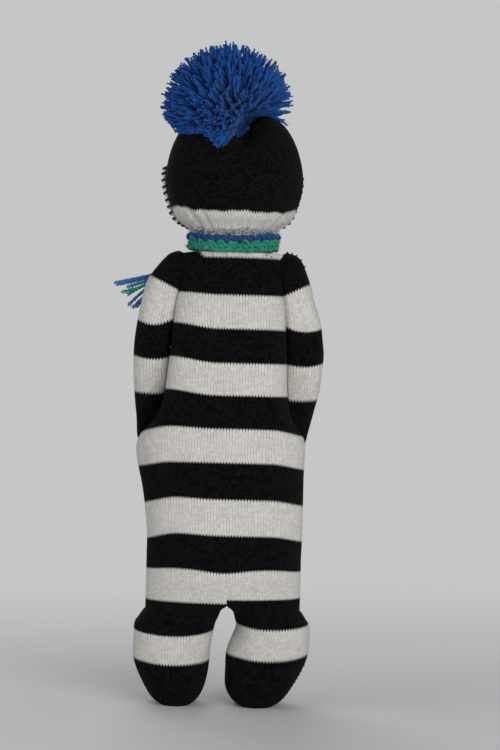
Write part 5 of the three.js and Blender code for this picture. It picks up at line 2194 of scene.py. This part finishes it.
@dataclass
class Sewing(Part):
    """The hand stitches and specks that show behind the doll, placed by x and height."""

    torso: Torso
    arms: Dict[Side, Arm]
    legs: Dict[Side, Leg]
    shoulder_xs: Tuple[float, ...] = (-30.5, -33.0, -35.8, -38.4, -41.0, -43.2)
    foot_heights: Tuple[float, ...] = (3.0, 5.4, 7.8, 10.3, 12.7, 15.2, 17.6, 20.0, 22.4)
    thread: float = 0.26
    ends: Tuple[Pair, ...] = ((-20.0, 264.3), (-22.0, 262.9), (-27.0, 261.6))
    fleck: Pair = (34.5, 208.9)

    def loops(self, places: Array, out: Array, across: Array, rise: float) -> Yarns:
        """Short arches of thread.

        Args:
            places: Where each arch stands.
            out: Direction in which it stands out.
            across: From its middle to its foot.
            rise: Its height.

        Returns:
            The arches.
        """
        u = np.linspace(0, pi, 11)[None, :, None]
        arch = rise * np.sin(u) * out[:, None] - np.cos(u) * across[:, None]
        return Yarns(places[:, None] + arch, self.thread, 7)

    def shoulder(self) -> None:
        """Sews loops over the top of the right arm's seam."""
        surface = self.arms[Side.RIGHT].surface.reshape(-1, 3)
        ridge = surface[(surface[:, 1] > -2) & (surface[:, 1] < 9)]
        places = []
        for x in self.shoulder_xs:
            near = ridge[np.abs(ridge[:, 0] - x) < 1.2]
            places.append(near[np.argmax(near[:, 2])])
        places = np.array(places)
        along = unit(np.gradient(places, axis=0) * xyz(1.0, 0.0, 1.0))
        out = np.cross(along, xyz(0.0, 1.0, 0.0))
        out = out * np.sign(out[:, 2:])
        across = along * 0.35 + xyz(0.0, 0.7, 0.0)
        loops = self.loops(places, out, across, 0.65)
        piece = loops.piece("right_shoulder_stitches")
        dress(piece, self.wardrobe.black_thread, self.arms[Side.RIGHT].hinge())

    def foot(self) -> None:
        """Sews small stitches up the outer edge of the right foot."""
        surface = self.legs[Side.RIGHT].surface.reshape(-1, 3)
        places = []
        for z in self.foot_heights:
            near = surface[(np.abs(surface[:, 2] - z) < 1.5) & (np.abs(surface[:, 1] - 2) < 8)]
            places.append(near[np.argmin(near[:, 0])])
        places = np.array(places)
        out = np.broadcast_to(unit(xyz(-1.0, 0.1, -0.25)), places.shape)
        across = np.broadcast_to(xyz(0.1, 0.7, 0.3), places.shape)
        loops = self.loops(places, out, across, 0.5)
        dress(loops.piece("right_foot_stitches"), self.wardrobe.black_thread, "right_leg")

    def specks(self) -> None:
        """Leaves brown thread ends in the gathers and a white fleck on the left arm."""
        rng = np.random.default_rng(37)
        curls = []
        for x, z in self.ends:
            root = facing(self.torso.surface, x, z)
            drift = rng.normal(scale=0.5, size=(2, 3)) * xyz(1.0, 0.2, 0.8)
            t = np.linspace(0, 1, 9)[:, None]
            bow = xyz(0.0, 0.7, 0.0) * np.sin(2 * t)
            curls.append(root + bow + drift[0] * t + drift[1] * t**2)
        ends = Yarns(np.array(curls), 0.3, 6)
        dress(ends.piece("brown_thread_ends"), self.wardrobe.brown_thread, "torso")
        root = facing(self.arms[Side.LEFT].surface, *self.fleck)
        t = np.linspace(0, 1, 7)[None, :, None]
        drift = rng.normal(scale=0.7, size=(6, 1, 3)) * xyz(1.0, 0.3, 1.0)
        fibres = Yarns(root + xyz(0.0, 0.5, 0.0) * np.sin(3 * t) + drift * (t - 0.5), 0.16, 5)
        piece = fibres.piece("white_fleck")
        dress(piece, self.wardrobe.white_thread, self.arms[Side.LEFT].hinge())

    def build(self) -> None:
        """Makes the stitches and the specks."""
        self.shoulder()
        self.foot()
        self.specks()


@dataclass
class Studio:
    """Pale floor, soft light and the photograph's camera."""

    distance: float = 1100.0
    aim_x: float = -11.8
    aim_z: float = 194.2
    roll: float = 1.5
    picture_height: float = 442.0
    sensor: float = 36.0
    backdrop: Colour = (0.56, 0.565, 0.565)
    ground: Colour = (0.74, 0.745, 0.745)

    def camera(self) -> None:
        """Makes the camera behind the doll."""
        data = bpy.data.cameras.new("camera")
        data.sensor_width = self.sensor
        data.lens = self.sensor * self.distance / self.picture_height
        camera = linked("camera", data)
        place = to_frame(xyz(self.aim_x, self.distance, self.aim_z))
        look = Vector((0, -1, 0)).to_track_quat("-Z", "Y").to_matrix().to_4x4()
        rolled = Matrix.Rotation(radians(self.roll), 4, "Z")
        camera.matrix_world = Matrix.Translation(Vector(place)) @ look @ rolled
        bpy.context.scene.camera = camera

    def lamp(self, name: str, place: Place, size: float, power: float) -> None:
        """Hangs a soft square lamp that faces the doll's middle.

        Args:
            name: Name of the lamp.
            place: Its place in the doll's millimetres.
            size: Its side, in metres.
            power: Its power, in watts.
        """
        data = bpy.data.lights.new(name, "AREA")
        data.size = size
        data.energy = power
        lamp = linked(name, data)
        at = Vector(to_frame(np.array(place)))
        middle = Vector(to_frame(xyz(0.0, 0.0, 190.0)))
        turn = (middle - at).to_track_quat("-Z", "Y").to_matrix().to_4x4()
        lamp.matrix_world = Matrix.Translation(at) @ turn

    def world(self) -> None:
        """Lights the scene evenly and shows the camera a pale backdrop."""
        g = Graph("studio", bpy.data.worlds)
        bpy.context.scene.world = g.owner
        back = g.tree.nodes["Background"]
        g.put(back.inputs["Color"], (0.55, 0.56, 0.58))
        g.put(back.inputs["Strength"], 0.3)
        seen = g.add("ShaderNodeBackground", self.backdrop)
        rays = g.add("ShaderNodeLightPath").outputs
        shown = rays["Is Camera Ray"]
        for ray in ("Is Glossy Ray", "Is Transmission Ray"):
            shown = g.math("MAXIMUM", shown, rays[ray])
        mix = g.add("ShaderNodeMixShader", shown, back.outputs[0], seen.outputs[0])
        g.put(g.tree.nodes["World Output"].inputs["Surface"], mix.outputs[0])

    def floor(self) -> None:
        """Lays a round pale floor that fades into the backdrop away from the doll."""
        bpy.ops.mesh.primitive_circle_add(vertices=96, radius=1.6, fill_type="NGON", location=ORIGIN)
        floor = bpy.context.object
        floor.name = "studio_floor"
        g = Graph("studio_floor")
        g.surface(self.ground, 0.9, 0.1, 0.0)
        place = g.object_place()
        length = g.add("ShaderNodeVectorMath", place, operation="LENGTH").outputs["Value"]
        g.put(g.shader.inputs["Alpha"], g.spread(length, 0.12, 0.75, (1.0, 0.0)))
        floor.data.materials.append(g.owner)

    def build(self) -> None:
        """Sets up the whole studio."""
        bpy.context.scene.view_settings.view_transform = "Standard"
        self.camera()
        self.world()
        self.floor()
        self.lamp("key_lamp", (-620, 1190, 330), 1.2, 17.0)
        self.lamp("fill_lamp", (1100, 500, 300), 1.0, 5.0)
        self.lamp("front_lamp", (300, -1100, 700), 1.0, 7.0)


def main() -> None:
    """Builds the doll and its studio, piece by piece."""
    logging.basicConfig(level=logging.INFO, format="%(name)s %(message)s")
    Studio().build()
    wardrobe = Wardrobe()
    torso = Torso(wardrobe)
    torso.build()
    legs = {side: Leg(wardrobe, side, torso) for side in Side}
    arms = {side: Arm(wardrobe, side, torso) for side in Side}
    for limb in (*legs.values(), *arms.values()):
        limb.build()
    Sewing(wardrobe, torso, arms, legs).build()
    head = Head(wardrobe)
    head.build()
    for part in (Neck(wardrobe), Pompom(wardrobe, head), Scarf(wardrobe), Face(wardrobe, head)):
        part.build()


if __name__ == "__main__":
    main()
